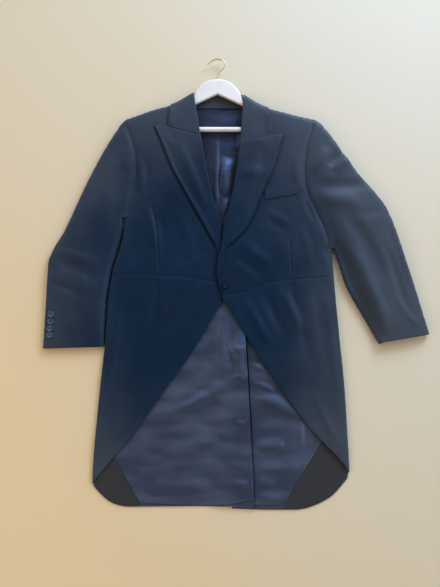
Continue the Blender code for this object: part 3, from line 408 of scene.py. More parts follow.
@dataclass(frozen=True)
class Crease:
    """A soft ridge, or a trough where high is below zero, in the coat's own millimetres."""

    high: float
    width: float
    line: Points
    lean: float = 0.0
    fade: float = 0.65

    def lift(self, x: np.ndarray, y: np.ndarray) -> np.ndarray:
        """Work out how far the crease lifts the cloth.

        Args:
            x: Places across the coat.
            y: Places up it.

        Returns:
            The lift at each place, in millimetres.
        """
        best = np.full(x.shape, 1e9)
        where = np.zeros(x.shape)
        hand = np.zeros(x.shape)
        ends = [np.array(p, float) for p in self.line]
        spans = [float(np.linalg.norm(b - a)) for a, b in zip(ends, ends[1:])]
        gone = 0.0
        for a, b, span in zip(ends, ends[1:], spans):
            way = (b - a) / span
            ahead = np.clip((x - a[0]) * way[0] + (y - a[1]) * way[1], 0, span)
            away = np.hypot(x - a[0] - way[0] * ahead, y - a[1] - way[1] * ahead)
            side = np.sign((x - a[0]) * way[1] - (y - a[1]) * way[0])
            near = away < best
            best = np.where(near, away, best)
            where = np.where(near, (gone + ahead) / sum(spans), where)
            hand = np.where(near, side, hand)
            gone += span
        wide = self.width * (1 + self.lean * hand)
        along = np.sin(np.pi * np.clip(where, 0.0, 1.0)) ** self.fade
        return self.high * (1 - ease(best / wide)) * along


@dataclass(frozen=True)
class Nudge:
    """A sideways move of the cloth, full on a line and gone at the area's width from it."""

    across: float
    up: float
    area: Crease


def seam(line: Points, high: float, width: float) -> Crease:
    """Make the soft valley a seam lies in, even along its length."""
    return Crease(high, width, line, fade=0.12)


ARMHOLE = {
    "right": ((-231, 408), (-219.5, 375), (-209.5, 341), (-206.5, 311), (-206.5, 281), (-212, 252),
              (-222, 216), (-229, 190)),
    "left": ((231, 408), (228, 392), (215, 349.5), (211, 300), (213, 262), (222, 230), (237, 199),
             (252, 170), (263, 146), (268, 125)),
}
WAIST = {
    "right": ((8, 17), (-20, 20), (-50, 25), (-90, 32), (-160, 36), (-250, 38)),
    "left": ((17.5, -12.5), (62.5, -5), (92, 6), (122.5, 17.5), (172.5, 25), (250, 31)),
}
LAPEL_RIM = {
    "right": ((-10, 107.5), (-30, 145), (-63, 203.5), (-115, 298), (-144, 368), (-158, 400)),
    "left": ((17.5, 105), (62.5, 150), (82.5, 190), (110, 255), (132.5, 305), (145, 350), (152, 376)),
}


@dataclass(frozen=True)
class Cut:
    """A piece of cloth laid out flat: the width and length of its rectangle, and its own area."""

    wide_m: float
    long_m: float
    area_m2: float


@dataclass
class Grain:
    """The corners and edges of a refined piece as arrays, for moves that work like a sculpting brush."""

    at: np.ndarray
    ends: np.ndarray
    cut: np.ndarray
    normals: np.ndarray

    @classmethod
    def of(cls, bm: bmesh.types.BMesh) -> "Grain":
        """Read a mesh being built.

        Args:
            bm: The mesh.

        Returns:
            Its arrays.
        """
        bm.verts.index_update()
        bm.normal_update()
        at = np.array([v.co for v in bm.verts]) / MM
        ends = np.array([[v.index for v in e.verts] for e in bm.edges])
        cut = np.array([not e.smooth for e in bm.edges])
        normals = np.array([v.normal for v in bm.verts])
        return cls(at, ends, cut, normals)

    def mean(self, values: np.ndarray, ends: np.ndarray) -> np.ndarray:
        """Average each corner's neighbours along some edges.

        Args:
            values: One row for each corner.
            ends: The edges' two corners.

        Returns:
            The averages.
        """
        total = np.zeros_like(values)
        count = np.zeros(len(values))
        for a, b in ((0, 1), (1, 0)):
            np.add.at(total, ends[:, a], values[ends[:, b]])
            np.add.at(count, ends[:, a], 1)
        safe = np.maximum(count, 1)
        return total / (safe[:, None] if values.ndim > 1 else safe)

    def corners(self) -> np.ndarray:
        """Find the outline's true corners, which never move."""
        ends = self.ends[self.cut]
        way = self.at[ends[:, 1]] - self.at[ends[:, 0]]
        way /= np.maximum(np.linalg.norm(way, axis=1), 1e-9)[:, None]
        total = np.zeros_like(self.at)
        count = np.zeros(len(self.at))
        np.add.at(total, ends[:, 0], way)
        np.add.at(total, ends[:, 1], -way)
        np.add.at(count, ends.ravel(), 1)
        return (count > 2) | ((count == 2) & (np.linalg.norm(total, axis=1) > TRUE_CORNER))

    def settle(self, rounds: int, flat_rounds: int) -> None:
        """Smooth the facets out: outlines along themselves, folds a little, level cloth in height alone.

        Args:
            rounds: Rounds for the outlines and folds.
            flat_rounds: Rounds for the level cloth.
        """
        fixed = self.corners()
        on_cut = np.zeros(len(self.at), bool)
        on_cut[self.ends[self.cut].ravel()] = True
        level = ease((np.abs(self.normals[:, 2]) - LEVEL_FROM) / LEVEL_SPAN)
        level[on_cut] = 0.0
        for share in IN_AND_OUT * rounds:
            along = self.mean(self.at, self.ends[self.cut])
            across = self.mean(self.at, self.ends)
            step = share * (np.where(on_cut[:, None], along, across) - self.at)
            step[fixed] = 0.0
            self.at += step
        for _ in range(flat_rounds):
            high = self.mean(self.at[:, 2], self.ends)
            self.at[:, 2] += LEVEL_SHARE * level * (high - self.at[:, 2])

    def crease(self, creases: tuple[Crease, ...], layer: Layer, sink_mm: float) -> None:
        """Press creases into the piece.

        Args:
            creases: The ridges and troughs.
            layer: Whether the part that lies on the floor stays level.
            sink_mm: How far troughs may go down before the cloth meets what it lies on.
        """
        x, y = self.at[:, 0] + COAT_X, self.at[:, 1] + COAT_Y
        total = np.zeros(len(x))
        for one in creases:
            total += one.lift(x, y)
        total = np.maximum(total, -sink_mm)
        if layer is Layer.UPPER:
            total *= ease((self.at[:, 2] - FLOOR_LAYER) / FLOOR_SPAN)
        self.at[:, 2] = np.maximum(self.at[:, 2] + total, 0.0)

    def nudge(self, nudges: tuple[Nudge, ...]) -> None:
        """Move parts of the piece sideways.

        Args:
            nudges: The moves.
        """
        for one in nudges:
            share = one.area.lift(self.at[:, 0] + COAT_X, self.at[:, 1] + COAT_Y)
            self.at[:, 0] += one.across * share
            self.at[:, 1] += one.up * share

    def write(self, bm: bmesh.types.BMesh) -> None:
        """Put the moved corners back into the mesh."""
        for vert, spot in zip(bm.verts, self.at):
            vert.co = spot * MM


def halve(bm: bmesh.types.BMesh, edges: list[bmesh.types.BMEdge]) -> None:
    """Halve some edges of a mesh and cut its faces into triangles again."""
    bmesh.ops.subdivide_edges(bm, edges=edges, cuts=1, use_grid_fill=False)
    bmesh.ops.triangulate(bm, faces=[f for f in bm.faces if len(f.verts) > 3])


def fine_copy(node: str, sharp: float, longest: float, rounds: int) -> bmesh.types.BMesh:
    """Copy a solid and halve its long edges, with its sharp ones marked.

    Args:
        node: The solid's name.
        sharp: The angle from which an edge is sharp.
        longest: The length from which an edge is halved, in metres.
        rounds: How many times over, at most.

    Returns:
        The fine mesh.
    """
    bm = bmesh.new()
    bm.from_mesh(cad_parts[node].data)
    bmesh.ops.remove_doubles(bm, verts=bm.verts[:], dist=SAME_SPOT)
    for edge in bm.edges:
        edge.smooth = edge.calc_face_angle(0.0) < sharp
    for _ in range(rounds):
        long = [e for e in bm.edges if e.calc_length() > longest]
        if not long:
            break
        halve(bm, long)
    return bm


@dataclass
class ClothPiece:
    """One cut piece of cloth, made fine from its solid, settled, creased and given round edges."""

    node: str
    finish: bpy.types.Material
    slot: str
    creases: tuple[Crease, ...] = ()
    layer: Layer = Layer.ALL
    hold: Hold = Hold.LAID
    rests_on: tuple[str, ...] = ()
    sink_mm: float = 8.0
    nudges: tuple[Nudge, ...] = ()
    grain_mm: float = 7.0
    rounding_mm: float = 0.55
    rounds: int = 8
    flat_rounds: int = 24

    def refined(self) -> bmesh.types.BMesh:
        """Cut the solid's faces down to the grain, and finer by narrow creases.

        Returns:
            The fine mesh, with its cut edges marked.
        """
        bm = fine_copy(self.node, CUT_EDGE, self.grain_mm * MM * SPLIT_OVER, 8)
        for narrow in (c for c in self.creases if c.width < self.grain_mm * NARROW_UNDER):
            near = Crease(1.0, narrow.width + NARROW_PAST, narrow.line, fade=0.1)
            for _ in range(3):
                edges = [e for e in bm.edges if e.calc_length() > narrow.width * NARROW_EDGE * MM]
                if not edges:
                    break
                mid = np.array([(e.verts[0].co + e.verts[1].co) / 2 for e in edges]) / MM
                close = near.lift(mid[:, 0] + COAT_X, mid[:, 1] + COAT_Y) > NEAR_ENOUGH
                close &= mid[:, 2] > UPPER_SIDE
                long = [e for e, is_close in zip(edges, close) if is_close]
                if not long:
                    break
                halve(bm, long)
        return bm

    def build(self) -> bpy.types.Object:
        """Returns:
            The finished object, which stands for the solid.
        """
        bm = self.refined()
        grain = Grain.of(bm)
        grain.settle(self.rounds, self.flat_rounds)
        grain.crease(self.creases, self.layer, self.sink_mm)
        grain.nudge(self.nudges)
        grain.write(bm)
        if self.rounding_mm:
            rims = [e for e in bm.edges if not e.smooth]
            bmesh.ops.bevel(bm, geom=rims, offset=self.rounding_mm * MM, offset_type="OFFSET", segments=2,
                            profile=0.5, affect="EDGES", material=-1, clamp_overlap=True)
        made = finished(f"cloth_{self.node}", bm, self.finish)
        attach(made, "root")
        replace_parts(made, self.node)
        return made


def add_object(name: str, data: bpy.types.ID) -> bpy.types.Object:
    """Put a mesh, curve, light or camera into the scene as an object at the origin."""
    made = bpy.data.objects.new(name, data)
    bpy.context.scene.collection.objects.link(made)
    return made


def finished(name: str, bm: bmesh.types.BMesh, finish: bpy.types.Material) -> bpy.types.Object:
    """Make an object of a mesh being built.

    Args:
        name: The object's name.
        bm: The mesh, which is used up.
        finish: Its material.

    Returns:
        The object, at the origin.
    """
    for edge in bm.edges:
        edge.smooth = True
    mesh = bpy.data.meshes.new(name)
    bm.to_mesh(mesh)
    bm.free()
    mesh.shade_smooth()
    mesh.materials.append(finish)
    return add_object(name, mesh)


@dataclass
class Finishes:
    """Every material on the coat and hanger."""

    body: bpy.types.Material = field(init=False)
    facing: bpy.types.Material = field(init=False)
    lining: bpy.types.Material = field(init=False)
    wood: bpy.types.Material = field(init=False)
    brass: bpy.types.Material = field(init=False)
    horn: bpy.types.Material = field(init=False)
    horn_painted_highlight: bpy.types.Material = field(init=False)
    silk: bpy.types.Material = field(init=False)

    def __post_init__(self) -> None:
        """Make them all."""
        # Painted sheen: each worsted's third colour is painted in away from the coat's middle. The satin's
        # second colour paints highlights in patches, and its third paints shade above the waist
        self.body = Worsted("wool_worsted_navy", "04192b", "0a2a40", "3f464b").make()
        self.facing = Worsted("wool_worsted_dark_facing", "2a2a2b", "353433", "393836").make()
        self.lining = Satin("viscose_satin_blue_grey", "363b45", "4d545f", "292c33").make()
        self.wood = Lacquer("beech_white_satin_lacquer").make()
        self.brass = BrassWire("brass_wire_drawn_lacquered").make()
        self.horn = Horn("buffalo_horn_dyed_navy", "081626", "0f2237", 0.12).make()
        # The cuff buttons' horn is painted paler, a painted highlight for the glint on each small button,
        # and is given more gloss
        self.horn_painted_highlight = Horn("buffalo_horn_dyed_navy_painted_highlight", "3a4250", "5d6672", 0.5).make()
        self.silk = Thread("silk_twist_thread_navy", "13233a").make()


@dataclass
class Body:
    """The two fronts with their skirts, wrapped round the sides."""

    finishes: Finishes
    front_creases: dict[str, tuple[Crease, ...]] = field(default_factory=lambda: {
        "right": (
            seam(ARMHOLE["right"], -3.0, 10.0),
            seam(WAIST["right"], -0.5, 6.0),
            seam(LAPEL_RIM["right"], -2.6, 10.0),
            seam(((-168, 205), (-158, 150), (-155, 100), (-152, 42)), -1.1, 3.6),
            Crease(3.0, 13, ((-184, 216), (-170, 160), (-160, 100))),
            Crease(-2.4, 13, ((-150, 190), (-140, 140), (-136, 80))),
            Crease(3.4, 12, ((-200, 330), (-196, 285), (-202, 248))),
            Crease(-2.6, 13, ((-180, 320), (-176, 276), (-184, 236))),
            Crease(2.2, 20, ((-106, 200), (-76, 130), (-64, 62))),
            Crease(2.4, 14, ((-226, 170), (-240, 110), (-246, 60))),
            Crease(-2.2, 14, ((-206, 160), (-216, 100), (-220, 48))),
            Crease(1.8, 12, ((-30, 92), (-60, 66), (-110, 52))),
        ),
        "left": (
            seam(ARMHOLE["left"], -3.0, 12.0),
            seam(WAIST["left"], -0.6, 6.0),
            seam(LAPEL_RIM["left"], -3.0, 11.0),
            seam(((171, 132), (173, 100), (177.5, 42)), -1.2, 3.6),
            Crease(-1.5, 13, ((118, 176), (140, 160), (164, 144))),
            Crease(1.8, 15, ((112, 196), (142, 182), (174, 162))),
            Crease(2.8, 13, ((190, 336), (188, 290), (194, 236))),
            Crease(-2.4, 12, ((206, 250), (218, 204), (240, 160))),
            Crease(2.4, 16, ((200, 160), (214, 110), (222, 60))),
            Crease(2.6, 20, ((52, 124), (90, 88), (130, 60))),
            Crease(-2.2, 16, ((36, 88), (80, 54), (110, 32))),
            Crease(2.0, 12, ((250, 100), (262, 66), (266, 38))),
        ),
    })
    skirt_creases: dict[str, tuple[Crease, ...]] = field(default_factory=lambda: {
        "right": (
            seam(WAIST["right"], -0.5, 6.0),
            Crease(2.6, 18, ((-52, 12), (-86, -60), (-138, -146))),
            Crease(-2.4, 20, ((-104, 20), (-128, -60), (-168, -156))),
            Crease(2.6, 24, ((-176, 20), (-190, -90), (-222, -220))),
            Crease(2.2, 16, ((-246, 10), (-262, -110), (-284, -260))),
            Crease(-2.2, 18, ((-224, -30), (-240, -140), (-262, -260))),
            Crease(2.2, 15, ((-236, -290), (-264, -350), (-292, -400))),
            Crease(-1.8, 10, ((-152, 24), (-156, -20), (-168, -70))),
        ),
        "left": (
            seam(WAIST["left"], -0.6, 6.0),
            Crease(3.8, 22, ((148, 2), (176, -46), (212, -112))),
            Crease(-3.4, 20, ((108, 0), (136, -60), (168, -124))),
            Crease(3.0, 17, ((60, -20), (88, -72), (124, -134))),
            Crease(2.8, 20, ((214, 12), (232, -90), (246, -190))),
            Crease(-2.8, 18, ((186, -10), (206, -100), (224, -180))),
            Crease(2.2, 16, ((262, 0), (276, -120), (292, -260))),
            Crease(2.6, 15, ((230, -250), (262, -320), (296, -390))),
            Crease(-1.8, 9, ((177, 22), (181, -12), (190, -54))),
        ),
    })
    # The right skirt's top edge is sewn close up to the front's, so that no lining shows between them
    skirt_nudges: dict[str, tuple[Nudge, ...]] = field(default_factory=lambda: {
        "right": (Nudge(0.0, 0.28, Crease(1.0, 5, WAIST["right"], fade=0.05)),),
        "left": (),
    })

    def build(self) -> list[bpy.types.Object]:
        """Make the four pieces.

        Returns:
            The fronts and skirts.
        """
        made = []
        for side in SIDES:
            made.append(ClothPiece(
                f"front_{side}", self.finishes.body, "cloth", self.front_creases[side],
                Layer.UPPER, Hold.FOLDED, (f"back_{side}", "hanger_body"),
            ).build())
            made.append(ClothPiece(
                f"skirt_{side}", self.finishes.body, "cloth", self.skirt_creases[side],
                Layer.UPPER, Hold.FOLDED, (f"back_{side}",), nudges=self.skirt_nudges[side],
            ).build())
        return made


@dataclass
class Back:
    """The backs, the side panels beneath the arms and the collar's stand."""

    finishes: Finishes

    def build(self) -> list[bpy.types.Object]:
        """Make the pieces that lie on the floor.

        Returns:
            The backs, side panels and stand.
        """
        cloth = self.finishes.body
        made = []
        for side in SIDES:
            made.append(ClothPiece(f"back_{side}", cloth, "cloth", grain_mm=12).build())
            made.append(ClothPiece(f"sidebody_{side}", cloth, "cloth", grain_mm=12).build())
        made.append(ClothPiece("collar_back", cloth, "cloth", hold=Hold.FOLDED,
                               rests_on=("back_left", "back_right"), grain_mm=4).build())
        return made


@dataclass
class Lining:
    """The back's satin lining, lapped in a pleat, and the cloth facings in the tails' corners."""

    finishes: Finishes
    right_creases: tuple[Crease, ...] = (
        Crease(3.1, 11, ((67.5, -120), (75, -220), (77.5, -370), (82.5, -505)), fade=0.2),
        Crease(6.2, 18.7, ((75, -205), (10, -245), (-60, -280), (-140, -325)), lean=0.5),
        Crease(3.9, 24.2, ((-20, -275), (-60, -290), (-105, -305)), lean=0.5),
        Crease(6.2, 22, ((-5, -370), (-55, -385), (-110, -405)), lean=0.5),
        Crease(5, 19.8, ((5, -435), (-45, -452.5), (-100, -475)), lean=0.5),
        Crease(3.5, 13.2, ((-20, -490), (-45, -497.5), (-70, -502.5)), lean=0.5),
        Crease(6.6, 24.2, ((50, -100), (45, -155), (50, -225)), lean=-0.5),
        Crease(3.5, 8.8, ((20, -135), (30, -165), (45, -190)), lean=-0.5),
        Crease(3.9, 8.8, ((75, -140), (52.5, -150), (30, -145)), lean=0.5),
        Crease(4.2, 11, ((75, -205), (57.5, -220), (35, -215)), lean=0.5),
        Crease(3.5, 9.9, ((77.5, -325), (57.5, -335), (35, -327.5)), lean=0.5),
        Crease(5, 15.4, ((80, -435), (55, -442.5), (15, -432.5)), lean=0.5),
        Crease(5.4, 14.3, ((82.5, -482.5), (62.5, -487.5), (30, -482.5)), lean=0.5),
        Crease(1.1, 3.2, ((-222.5, -360), (-222.5, -425), (-222.5, -490)), fade=0.3),
        Crease(4.2, 19.8, ((5, -55), (-2.5, -135), (5, -215)), lean=-0.5),
        Crease(2.6, 18, ((-14, -196), (-52, -236), (-96, -276)), lean=0.5),
        Crease(2.2, 22, ((-112, -398), (-145, -430), (-182, -462)), lean=0.5),
        Crease(3.5, 19.8, ((-120, -495), (-165, -505), (-205, -510)), lean=0.5),
        Crease(4.6, 9, ((-10, 372.5), (-10, 287.5), (-10, 205)), fade=0.4),
    )
    left_creases: tuple[Crease, ...] = (
        Crease(4.2, 9.9, ((77.5, -190), (95, -195), (115, -202.5)), lean=-0.5),
        Crease(5, 9.9, ((77.5, -235), (105, -240), (135, -252.5)), lean=-0.5),
        Crease(7.8, 22, ((85, -270), (135, -285), (200, -315)), lean=-0.5),
        Crease(6.6, 16.5, ((85, -390), (115, -392.5), (160, -385)), lean=-0.5),
        Crease(5.4, 22, ((95, -445), (140, -445), (195, -440)), lean=-0.5),
        Crease(5, 13.2, ((85, -485), (105, -482.5), (135, -485)), lean=-0.5),
        Crease(3.5, 13.2, ((95, -517.5), (120, -520), (150, -517.5)), lean=-0.5),
        Crease(1, 3.2, ((192.5, -310), (192.5, -375), (192.5, -465)), fade=0.3),
        Crease(3.7, 7.7, ((202.5, -325), (202.5, -355), (202.5, -390)), fade=0.4),
        Crease(10.5, 24, ((12, 330), (6, 290), (3, 236)), lean=-0.5),
        Crease(4.2, 13.2, ((50, 400), (50, 370), (45, 350)), lean=-0.5),
        Crease(4.6, 13.2, ((12.5, 230), (10, 205), (10, 180)), lean=-0.5),
    )
    # The lining stops short of the vent's edge, where the cloth's own edge shows
    drawn_in: tuple[Nudge, ...] = (Nudge(-3.6, 0.0, Crease(1.0, 16, (
        (59, -62), (65, -105), (73, -225), (80, -363), (87, -522), (88, -560),
    ), fade=0.12)),)

    def build(self) -> list[bpy.types.Object]:
        """Make the lining and facings.

        Returns:
            The four pieces.
        """
        made = []
        creases = (self.right_creases, self.left_creases)
        for side, folds, nudges in zip(SIDES, creases, (self.drawn_in, ())):
            made.append(ClothPiece(
                f"lining_{side}", self.finishes.lining, "lining", folds, rests_on=(f"back_{side}",),
                grain_mm=5, rounding_mm=0.28, sink_mm=0.1, nudges=nudges,
            ).build())
        for side in SIDES:
            made.append(ClothPiece(f"facing_{side}", self.finishes.facing, "facing",
                                   rests_on=(f"back_{side}",), rounding_mm=0.3).build())
        return made


@dataclass
class Collar:
    """The peaked lapels and the collar's leaves, rolled over the front edges."""

    finishes: Finishes
    lapel_creases: dict[str, tuple[Crease, ...]] = field(default_factory=lambda: {
        "right": (
            Crease(2.2, 14, LAPEL_RIM["right"], fade=0.3),
            Crease(3.0, 18, ((-104, 372), (-70, 290), (-34, 200))),
            Crease(-1.5, 15, ((-128, 350), (-96, 280), (-56, 205))),
            Crease(1.3, 10, ((-140, 392), (-126, 368), (-110, 348))),
        ),
        "left": (
            Crease(2.8, 14, LAPEL_RIM["left"], fade=0.3),
            Crease(2.4, 18, ((96, 352), (78, 270), (50, 190))),
            Crease(-1.6, 14, ((122, 336), (102, 262), (74, 200))),
            Crease(1.8, 12, ((44, 172), (28, 142), (14, 110))),
            Crease(2.8, 30, ((44, 374), (86, 370), (126, 362))),
            Crease(2.6, 26, ((46, 292), (86, 290), (122, 284))),
        ),
    })
    collar_creases: dict[str, tuple[Crease, ...]] = field(default_factory=lambda: {
        "right": (Crease(1.6, 12, ((-124, 408), (-122, 428), (-116, 446)), fade=0.3),),
        "left": (Crease(1.6, 12, ((121, 386), (123, 402), (119, 436)), fade=0.3),),
    })

    def build(self) -> list[bpy.types.Object]:
        """Make lapels and leaves.

        Returns:
            The four pieces.
        """
        made = []
        for side in SIDES:
            made.append(ClothPiece(
                f"lapel_{side}", self.finishes.body, "cloth", self.lapel_creases[side],
                hold=Hold.FOLDED, rests_on=(f"front_{side}",), grain_mm=5, rounding_mm=0.75, sink_mm=0.4,
            ).build())
            made.append(ClothPiece(
                f"collar_{side}", self.finishes.body, "cloth", self.collar_creases[side],
                hold=Hold.FOLDED, rests_on=(f"front_{side}",), grain_mm=4, rounding_mm=0.75, sink_mm=0.4,
            ).build())
        return made


@dataclass
class Sleeves:
    """The two sleeves, hollow, each of an upper and an under piece."""

    finishes: Finishes
    creases: dict[str, tuple[Crease, ...]] = field(default_factory=lambda: {
        "right": (
            seam(ARMHOLE["right"], -3.2, 11.0),
            Crease(2.6, 13, ((-240, 352), (-226, 300), (-236, 236), (-252, 176))),
            Crease(-7.0, 15, ((-242, 150), (-254, 108), (-268, 60), (-283, -30), (-290, -141)), fade=0.3),
            Crease(2.8, 24, ((-262, 330), (-280, 260), (-300, 190))),
            Crease(-2.6, 22, ((-236, 300), (-248, 240), (-262, 170))),
            Crease(-3.4, 20, ((-402, 70), (-350, 50), (-300, 24))),
            Crease(2.8, 18, ((-410, 100), (-350, 82), (-288, 62))),
            Crease(-2.4, 15, ((-420, 20), (-372, 2), (-330, -22))),
            Crease(2.2, 20, ((-330, 180), (-340, 70), (-345, -40))),
            Crease(-2.0, 18, ((-380, 110), (-384, 20), (-390, -60))),
            Crease(1.8, 16, ((-306, 40), (-312, -40), (-318, -110))),
            Crease(1.8, 10, ((-404, -40), (-408, -90), (-412, -130))),
        ),
        "left": (
            seam(ARMHOLE["left"], -1.9, 8.0),
            Crease(-6.5, 15, ((312, 352), (292, 330), (268, 306))),
            Crease(4.2, 22, ((332, 344), (308, 314), (284, 290))),
            Crease(4.4, 22, ((262, 352), (246, 318), (232, 286))),
            Crease(-3.4, 24, ((222, 262), (270, 256), (330, 258), (382, 266))),
            Crease(2.6, 24, ((236, 230), (284, 222), (344, 216))),
            Crease(-4.6, 28, ((300, 204), (356, 124), (410, 20))),
            Crease(-1.4, 18, ((318, 186), (370, 190), (412, 200))),
            Crease(6.0, 26, ((314, 114), (350, 50), (384, -24), (416, -104))),
            Crease(-8.0, 26, ((286, 118), (310, 62), (332, 0), (360, -60), (394, -124)), fade=0.3),
            Crease(3.2, 18, ((424, 184), (450, 100), (480, 4))),
            Crease(-2.6, 16, ((404, 120), (436, 30), (466, -70))),
            Crease(2.2, 14, ((440, -20), (462, -60), (492, -90))),
        ),
    })
    # The right sleeve lies against the coat's side
    nudges: dict[str, tuple[Nudge, ...]] = field(default_factory=lambda: {
        "right": (
            Nudge(1.4, 0.0, Crease(1.0, 40, (
                (-242, 176), (-245, 132), (-250, 112), (-264, 72), (-276, 12), (-283, -38), (-291, -175),
            ), fade=0.2)),
            Nudge(0.7, 0.0, Crease(1.0, 40, (
                (-252, 108), (-276, 12), (-283, -38), (-289, -135),
            ), fade=0.3)),
            Nudge(0.8, 0.0, Crease(1.0, 30, ((-250, 112), (-264, 72), (-271, 42)), fade=0.5)),
        ),
        "left": (),
    })

    def build(self) -> list[bpy.types.Object]:
        """Make both sleeves.

        Returns:
            The four pieces.
        """
        cloth = self.finishes.body
        made = []
        for side in SIDES:
            made.append(ClothPiece(
                f"topsleeve_{side}", cloth, "cloth", self.creases[side], Layer.UPPER,
                Hold.FOLDED, (f"undersleeve_{side}",), nudges=self.nudges[side],
            ).build())
            made.append(ClothPiece(f"undersleeve_{side}", cloth, "cloth", grain_mm=12).build())
        return made


@dataclass
class Button:
    """A sewn-on horn button with a turned rim, four holes and its thread."""

    node: str
    half_mm: float
    horn: bpy.types.Material
    silk: bpy.types.Material
    holes_mm: float = 1.5
    hole_steps: float = 1.25
    stitch_steps: float = 3.2
    face_at: float = 0.60
    thread_m: float = 0.00042
    hole_m: float = 0.0007
    hole_deep_m: float = 0.0004
    profile: Points = ((0.0, 0.55), (0.50, 0.58), (0.66, 0.70), (0.78, 0.98), (0.92, 1.0), (1.0, 0.72),
                       (1.0, 0.30), (0.84, 0.0), (0.0, 0.0))

    def build(self) -> list[bpy.types.Object]:
        """Make the button and its thread.

        Returns:
            The button, then the thread.
        """
        low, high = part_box(self.node)
        middle = (low + high) / 2
        tall = high.z - low.z
        bm = bmesh.new()
        rim = [bm.verts.new((r * self.half_mm * MM, 0, h * tall)) for r, h in self.profile]
        rim_edges = [bm.edges.new(pair) for pair in zip(rim, rim[1:])]
        bmesh.ops.spin(bm, geom=rim + rim_edges, cent=(0, 0, 0), axis=(0, 0, 1), angle=math.tau, steps=40,
                       use_merge=True, use_duplicate=False)
        bmesh.ops.remove_doubles(bm, verts=bm.verts[:], dist=1e-6)
        bmesh.ops.recalc_face_normals(bm, faces=bm.faces[:])
        bmesh.ops.translate(bm, verts=bm.verts[:], vec=(middle.x, middle.y, low.z))
        button = finished(f"{self.node}_horn", bm, self.horn)
        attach(button, "root")
        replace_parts(button, self.node)
        bm = bmesh.new()
        face = low.z + self.face_at * tall
        step = self.holes_mm * MM
        for turn in (45, 135):
            add_stitch(bm, Vector((middle.x, middle.y, face)), math.radians(turn),
                       step * self.stitch_steps, self.thread_m)
        out = Vector((step * self.hole_steps, 0, 0))
        for k in range(4):
            spot = Matrix.Rotation(math.radians(45 + 90 * k), 3, "Z") @ out
            bmesh.ops.create_cone(
                bm, cap_ends=True, segments=10, radius1=self.hole_m, radius2=self.hole_m,
                depth=self.hole_deep_m,
                matrix=Matrix.Translation((middle.x + spot.x, middle.y + spot.y, face)),
            )
        thread = finished(f"{self.node}_thread", bm, self.silk)
        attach(thread, "root")
        return [button, thread]


def add_stitch(bm: bmesh.types.BMesh, middle: Vector, heading: float, length: float,
               thick: float) -> None:
    """Add one short stitch, a stretched bead, to a mesh being built.

    Args:
        bm: The mesh.
        middle: The stitch's middle.
        heading: Which way it runs, from +X.
        length: Its length in metres.
        thick: Half its thickness in metres.
    """
    shape = Matrix.Translation(middle) @ Matrix.Rotation(heading, 4, "Z") @ Matrix.Diagonal(
        (length / 2, thick, thick * 0.8, 1.0))
    bmesh.ops.create_icosphere(bm, subdivisions=1, radius=1.0, matrix=shape)


@dataclass
class Sewing:
    """Rows of stitches that show: prick stitching on edges, and tacks at the welt's ends."""

    finishes: Finishes
    pitch_mm: float = 6.5
    stitch_mm: float = 2.6
    thick_mm: float = 0.34
    from_mm: float = 60
    rows: tuple[tuple[str, Points], ...] = (
        ("lapel_right", ((-157, 398.5), (-144, 366), (-115, 294), (-63, 199), (-31, 141), (-12, 107))),
        ("lapel_left", ((149, 374), (142, 348), (130, 305), (108, 256), (81, 192), (61, 153), (20, 108))),
        ("collar_right", ((-124, 407), (-124, 424), (-119, 444))),
        ("collar_left", ((121, 386), (123.5, 398), (122, 420), (116, 440))),
        ("breast_welt", ((112, 227), (113, 244))),
        ("breast_welt", ((190, 240), (189.5, 257))),
        ("skirt_left", ((11, -34), (26, -56), (50, -96), (86, -158), (153, -256))),
        ("skirt_right", ((-9, -42), (-65, -154), (-134, -252), (-194, -336))),
        ("lining_right", ((-40, -533), (20, -530), (70, -520))),
        ("lining_left", ((160, -530), (184, -492), (206, -454))),
        ("lining_left", ((30, 446.5), (0, 446.5), (-14, 446.5))),
        ("lining_right", ((-16, 446.5), (-40, 446.5), (-58, 446.5))),
    )

    def build(self, pieces: dict[str, bpy.types.Object]) -> bpy.types.Object:
        """Sew all the rows.

        Args:
            pieces: Each node's dressed piece.

        Returns:
            One object of stitches.
        """
        bm = bmesh.new()
        for node, line in self.rows:
            tree = BVHTree.FromObject(pieces[node], bpy.context.evaluated_depsgraph_get())
            for (x0, y0), (x1, y1) in zip(line, line[1:]):
                span = math.hypot(x1 - x0, y1 - y0)
                heading = math.atan2(y1 - y0, x1 - x0)
                count = max(1, round(span / self.pitch_mm))
                for k in range(count):
                    t = (k + 0.5) / count
                    over = place(x0 + (x1 - x0) * t, y0 + (y1 - y0) * t, self.from_mm)
                    hit = tree.ray_cast(over, Vector((0, 0, -1)))[0]
                    if hit:
                        add_stitch(bm, hit, heading, self.stitch_mm * MM, self.thick_mm * MM)
        made = finished("sewing_stitches", bm, self.finishes.silk)
        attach(made, "root")
        return made


